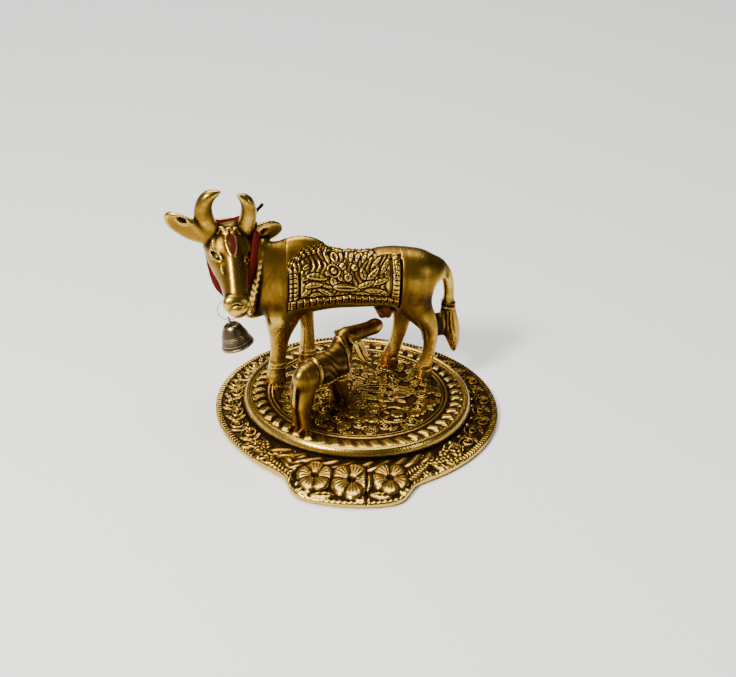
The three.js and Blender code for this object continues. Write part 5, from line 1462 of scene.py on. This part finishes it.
# The red thread is a loose bundle of dyed cotton, tied on by hand: over the poll behind the horns, down on
# both sides of the face and together behind the muzzle, with a cut end that sticks out of its knot.
THREAD_WIDTH = 3.7
THREAD_THICKNESS = 1.2
THREAD_ROUTE = [
    (-12, 7.5, -5), (-5, 5.6, -4.8), (4, 4.6, -2.8), (11, 5.4, -0.8), (16.2, 5, -1.4), (18.6, 0.5, -5.4),
    (18, -6, -11), (17, -10.5, -17), (15.8, -13.6, -25), (14.2, -14.6, -33), (9.4, -15.4, -42),
    (4.4, -17.4, -48.2), (2.8, -14, -50.2), (1.2, -10.6, -48.2), (-4.6, -8.4, -42), (-8.2, -3.4, -33),
    (-10.4, 2, -24), (-13.2, 5.6, -14), (-14.8, 7.4, -7),
]
THREAD_END = [(16.2, 5, -1.6), (18, 5.2, 4), (22, 4.8, 10)]
THREAD_LOWEST = THREAD_ROUTE[12]


def closed_curve(points, steps):
    """A smooth closed line through points: the curve through three rounds of them, of which the middle is
    kept."""
    rounds = curve(np.vstack([points[-3:], points, points[:4]]), steps)
    return rounds[3 * steps:(3 + len(points)) * steps]


def thread_points(sides):
    """The bundle as rings of points along its closed route, on the head's frame: flat, bunched below, with
    twisted strands raised along it."""
    line = closed_curve(np.array(THREAD_ROUTE, dtype=float), 22)
    along = np.roll(line, -1, axis=0) - np.roll(line, 1, axis=0)
    along /= np.linalg.norm(along, axis=1)[:, None]
    hub = np.stack([np.full(len(line), 2.0), np.full(len(line), 14.0), np.clip(line[:, 2], -42, -20)], axis=1)
    out = line - hub
    out -= np.einsum("ij,ij->i", out, along)[:, None] * along
    out /= np.linalg.norm(out, axis=1)[:, None]
    across = np.cross(along, out)
    bunched = np.clip(1 + (line[:, 2] + 20) / 60, 0.5, 1)[:, None]
    travelled = np.cumsum(np.linalg.norm(np.roll(line, -1, axis=0) - line, axis=1))[:, None]
    angle = -2 * np.pi * np.arange(sides)[None, :] / sides
    strands = 1 + 0.13 * np.abs(np.sin(5 * angle + 0.55 * travelled))
    wide = THREAD_WIDTH / cow_unit / 2 * bunched * np.cos(angle) * strands
    thick = THREAD_THICKNESS / cow_unit / 2 * np.sin(angle) * strands * 1.05
    return line[:, None] + wide[..., None] * across[:, None] + thick[..., None] * out[:, None]


def tube_points(line, radius, sides):
    """Rings of points round an open line, with a point at each end."""
    along, across, depth = line_frames(line, ACROSS)
    angle = 2 * np.pi * np.arange(sides) / sides
    rings = line[:, None, :3] + radius[:, None, None] * (np.cos(angle)[None, :, None] * across[:, None]
                                                        + np.sin(angle)[None, :, None] * depth[:, None])
    return rings, np.stack([line[0, :3], line[-1, :3]])


def add_rings(name, rings, material, backwards=False):
    """Puts in a closed band: rings of points in the row's frame, joined round and end to end."""
    quads = grid_quads(*rings.shape[:2], True, True)
    return add_piece(name, rings.reshape(-1, 3), quads[:, ::-1] if backwards else quads, material)


def cotton(name, colour, deep, scale):
    """Dyed cotton: matt, with fine fibres all over it, and painted shade darkening the dye in its folds and
    grooves.
    """
    material, tree, surface = new_material(name, {"Roughness": 0.92, "Specular IOR Level": 0.06})
    place = add_node(tree, "TexCoord")
    fibres = add_node(tree, "TexNoise", values={"Scale": scale, "Detail": 4})
    link(tree, (place, "Object"), (fibres, "Vector"))
    # Painted shade: the hollowness darkens the dye in the folds and between the strands.
    hollow = add_node(tree, "Attribute", {"attribute_name": "hollow"})
    mixed = add_node(tree, "Math", {"operation": "MULTIPLY_ADD"}, {1: 0.5})
    link(tree, (fibres, "Fac"), (mixed, 0))
    link(tree, (hollow, "Fac"), (mixed, 2))
    dye_and_fold_shade = ramp(tree, [(0.45, colour), (1.0, deep)])
    link(tree, (mixed, "Value"), (dye_and_fold_shade, "Fac"))
    link(tree, (dye_and_fold_shade, "Color"), (surface, "Base Color"))
    nap = add_node(tree, "Bump", values={"Strength": 0.6, "Distance": 0.0003})
    link(tree, (fibres, "Fac"), (nap, "Height"))
    link(tree, (nap, "Normal"), (surface, "Normal"))
    return material


red_cotton = cotton("red_cotton", (0.09, 0.007, 0.004), (0.026, 0.003, 0.002), 2600)
thread_rings = thread_points(sides=20)
thread_places = cow_to_row(on_head(thread_rings.reshape(-1, 3)))
thread = add_rings("thread_loop", thread_places.reshape(thread_rings.shape), red_cotton)
end_line = curve(on_head(THREAD_END), 8)
end_radius = 0.75 * (1 + 0.12 * np.sin(2.4 * np.arange(len(end_line))))
end_radius[-1] = 0.85
end_points, end_quads, end_fans = closed_grid(*tube_points(end_line, end_radius, sides=12))
add_piece("thread_end", cow_to_row(end_points), end_quads, red_cotton, end_fans)
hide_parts("head_thread")

# A thin stiff loop of pale thread goes round the red bundle at its lowest point, and the bell's crown loop
# hangs in it.
RING_RADIUS = 5.0
RING_WIRE = 0.6
CLEARANCE = 0.3
lowest = on_head([THREAD_LOWEST])[0]
ring_middle = lowest + (0, 0, THREAD_THICKNESS / 2 + CLEARANCE + RING_WIRE / 2 - RING_RADIUS)


def ring_points(middle, radius, wire, sides, columns, twists):
    """A ring that stands in the plane of X and Z, as rings of points round its wire; a twist marks its
    strands."""
    turn = 2 * np.pi * np.arange(columns)[:, None] / columns
    angle = 2 * np.pi * np.arange(sides)[None, :] / sides
    thick = wire / 2 * (1 - 0.1 * np.abs(np.sin(angle + twists * turn / 2)))
    reach = radius + thick * np.cos(angle)
    out = thick * np.sin(angle) + 0 * turn
    return middle + np.stack([reach * np.cos(turn), out, reach * np.sin(turn)], axis=-1)


pale_cotton = cotton("pale_cotton", (0.62, 0.52, 0.38), (0.3, 0.22, 0.13), 3000)
ring_rings = ring_points(ring_middle, RING_RADIUS, RING_WIRE, sides=12, columns=180, twists=60)
ring = add_rings("bell_loop", cow_to_row(ring_rings), pale_cotton)
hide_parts("bell_ring")

# The bell is a small turned brass cup with a flared lip, dull and brown with age, with a wire loop set in
# its crown. It hangs aslant, as the photograph caught it. It is open below and has no clapper.
BELL_DIAMETER = 15.0
BELL_HEIGHT = 10.5
BELL_WALL = 0.8
BELL_LOOP_RADIUS = 1.5
BELL_LOOP_WIRE = 0.9
BELL_TILT = np.radians(17)
# Lines turned round the cup: share of the way down, and width.
BELL_LINES = [(0.93, 0.05), (0.8, 0.03), (0.52, 0.03), (0.46, 0.03)]
# Colours of the bell's brass from worn to black in the hollows.
AGED = [(0.2, (0.5, 0.38, 0.2)), (0.42, (0.12, 0.083, 0.045)), (0.56, (0.075, 0.051, 0.028)),
        (0.7, (0.045, 0.03, 0.018)), (0.88, (0.014, 0.01, 0.007))]


def bell_points(columns):
    """The cup turned about Z, from the middle of its crown down outside, over the lip and up inside."""
    drop = BELL_LOOP_RADIUS + BELL_LOOP_WIRE / 4
    roof_depth = 1.5 * BELL_WALL
    share = np.linspace(0, 1, 60)
    outer = BELL_DIAMETER / 2 * (0.3 + 0.46 * np.minimum(1, share * 1.7) ** 0.42 + 0.24 * share ** 3)
    lines = 0.16 * sum(bump(share - at, width) for at, width in BELL_LINES)
    sunk = 0.25 * np.linspace(0, 1, 8) ** 3
    shoulder = np.stack([outer[0] * np.linspace(0.06, 0.97, 8), -drop - sunk], axis=1)
    outside = np.stack([outer + lines, -drop - BELL_HEIGHT * share], axis=1)[1:]
    lip = np.array([[outer[-1] - 0.15, -drop - BELL_HEIGHT - 0.12],
                    [outer[-1] - BELL_WALL + 0.15, -drop - BELL_HEIGHT - 0.1]])
    depth = np.maximum(BELL_HEIGHT * share[::-2], roof_depth)
    inner = np.stack([outer[::-2] - BELL_WALL, -drop - depth], axis=1)[:-1]
    roof = np.stack([inner[-1, 0] * np.linspace(0.8, 0.1, 5), np.full(5, -drop - roof_depth)], axis=1)
    profile = np.concatenate([shoulder, outside, lip, inner, roof])
    angle = 2 * np.pi * np.arange(columns) / columns
    grid = np.stack([profile[:, :1] * np.cos(angle), profile[:, :1] * np.sin(angle),
                     np.repeat(profile[:, 1:], columns, axis=1)], axis=-1)
    return grid, np.array([[0, 0, -drop], [0, 0, -drop - roof_depth]])


def hung(points):
    """Points of the bell, which hangs aslant in the pale loop, in the row's frame."""
    slack = BELL_LOOP_RADIUS - BELL_LOOP_WIRE / 2 - RING_WIRE / 2 - CLEARANCE
    return cow_to_row(points @ turn_matrix(-BELL_TILT, 2, 0).T + ring_middle + (0, 0, -RING_RADIUS - slack))


aged = metal("aged_brass", AGED)
bell_places, bell_quads, bell_fans = closed_grid(*bell_points(columns=160))
bell = add_piece("bell_cup", hung(bell_places), bell_quads, aged, bell_fans, fine=4)
crown_rings = ring_points(np.zeros(3), BELL_LOOP_RADIUS, BELL_LOOP_WIRE, sides=16, columns=64, twists=0)
add_rings("bell_crown_loop", hung(crown_rings[..., [1, 0, 2]]), aged, backwards=True)
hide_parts("bell")

# The studio: a pale floor that runs out of sight, a large soft lamp above and behind, a small one in front
# to the left and a weak one on the right. The room fills the rest, and is darker on the right.
FLOOR_HEIGHT = -0.0002
floor_corners = [(x, y, FLOOR_HEIGHT) for x, y in ((-6, -6), (6, -6), (6, 6), (-6, 6))]
floor_mesh = bpy.data.meshes.new("floor")
floor_mesh.from_pydata(floor_corners, [], [(0, 1, 2, 3)])
floor_mesh.materials.append(new_material("floor", {"Base Color": (0.93, 0.93, 0.92, 1), "Roughness": 0.9})[0])
floor = bpy.data.objects.new("floor", floor_mesh)
bpy.context.scene.collection.objects.link(floor)

world = bpy.data.worlds.new("studio")
world.use_nodes = True
room = world.node_tree
toward = add_node(room, "TexCoord")
sides = add_node(room, "SeparateXYZ")
link(room, (toward, "Generated"), (sides, "Vector"))
from_left = add_node(room, "MapRange", values={"From Min": -1})
link(room, (sides, "X"), (from_left, "Value"))
walls = ramp(room, [(0, (0.24, 0.236, 0.226)), (0.42, (0.16, 0.157, 0.15)), (0.6, (0.075, 0.073, 0.07)),
                    (1, (0.05, 0.049, 0.047))])
link(room, (from_left, "Result"), (walls, "Fac"))
link(room, (walls, "Color"), (room.nodes["Background"], "Color"))
bpy.context.scene.world = world


def lamp(name, place, aim, width, watts, colour):
    """A square soft lamp that faces the point it is aimed at."""
    light = bpy.data.lights.new(name, "AREA")
    light.shape = "SQUARE"
    light.size = width
    light.energy = watts
    light.color = colour
    back = np.array(place) - np.array(aim)
    back = back / np.linalg.norm(back)
    side = np.cross(UPRIGHT, back)
    side = side / np.linalg.norm(side)
    stand(name, light, np.stack([side, np.cross(back, side), back], axis=1), place)


lamp("key", (-0.42, -0.5, 0.62), aim=(0, 0, 0.04), width=0.18, watts=12, colour=(1.0, 0.97, 0.9))
lamp("top", (-0.3, 0.9, 2.4), aim=(0, 0.4, 0), width=2.2, watts=95, colour=(1.0, 0.99, 0.97))
lamp("side", (0.6, -0.35, 0.3), aim=(0, 0, 0.04), width=0.12, watts=0.5, colour=(1.0, 0.97, 0.92))
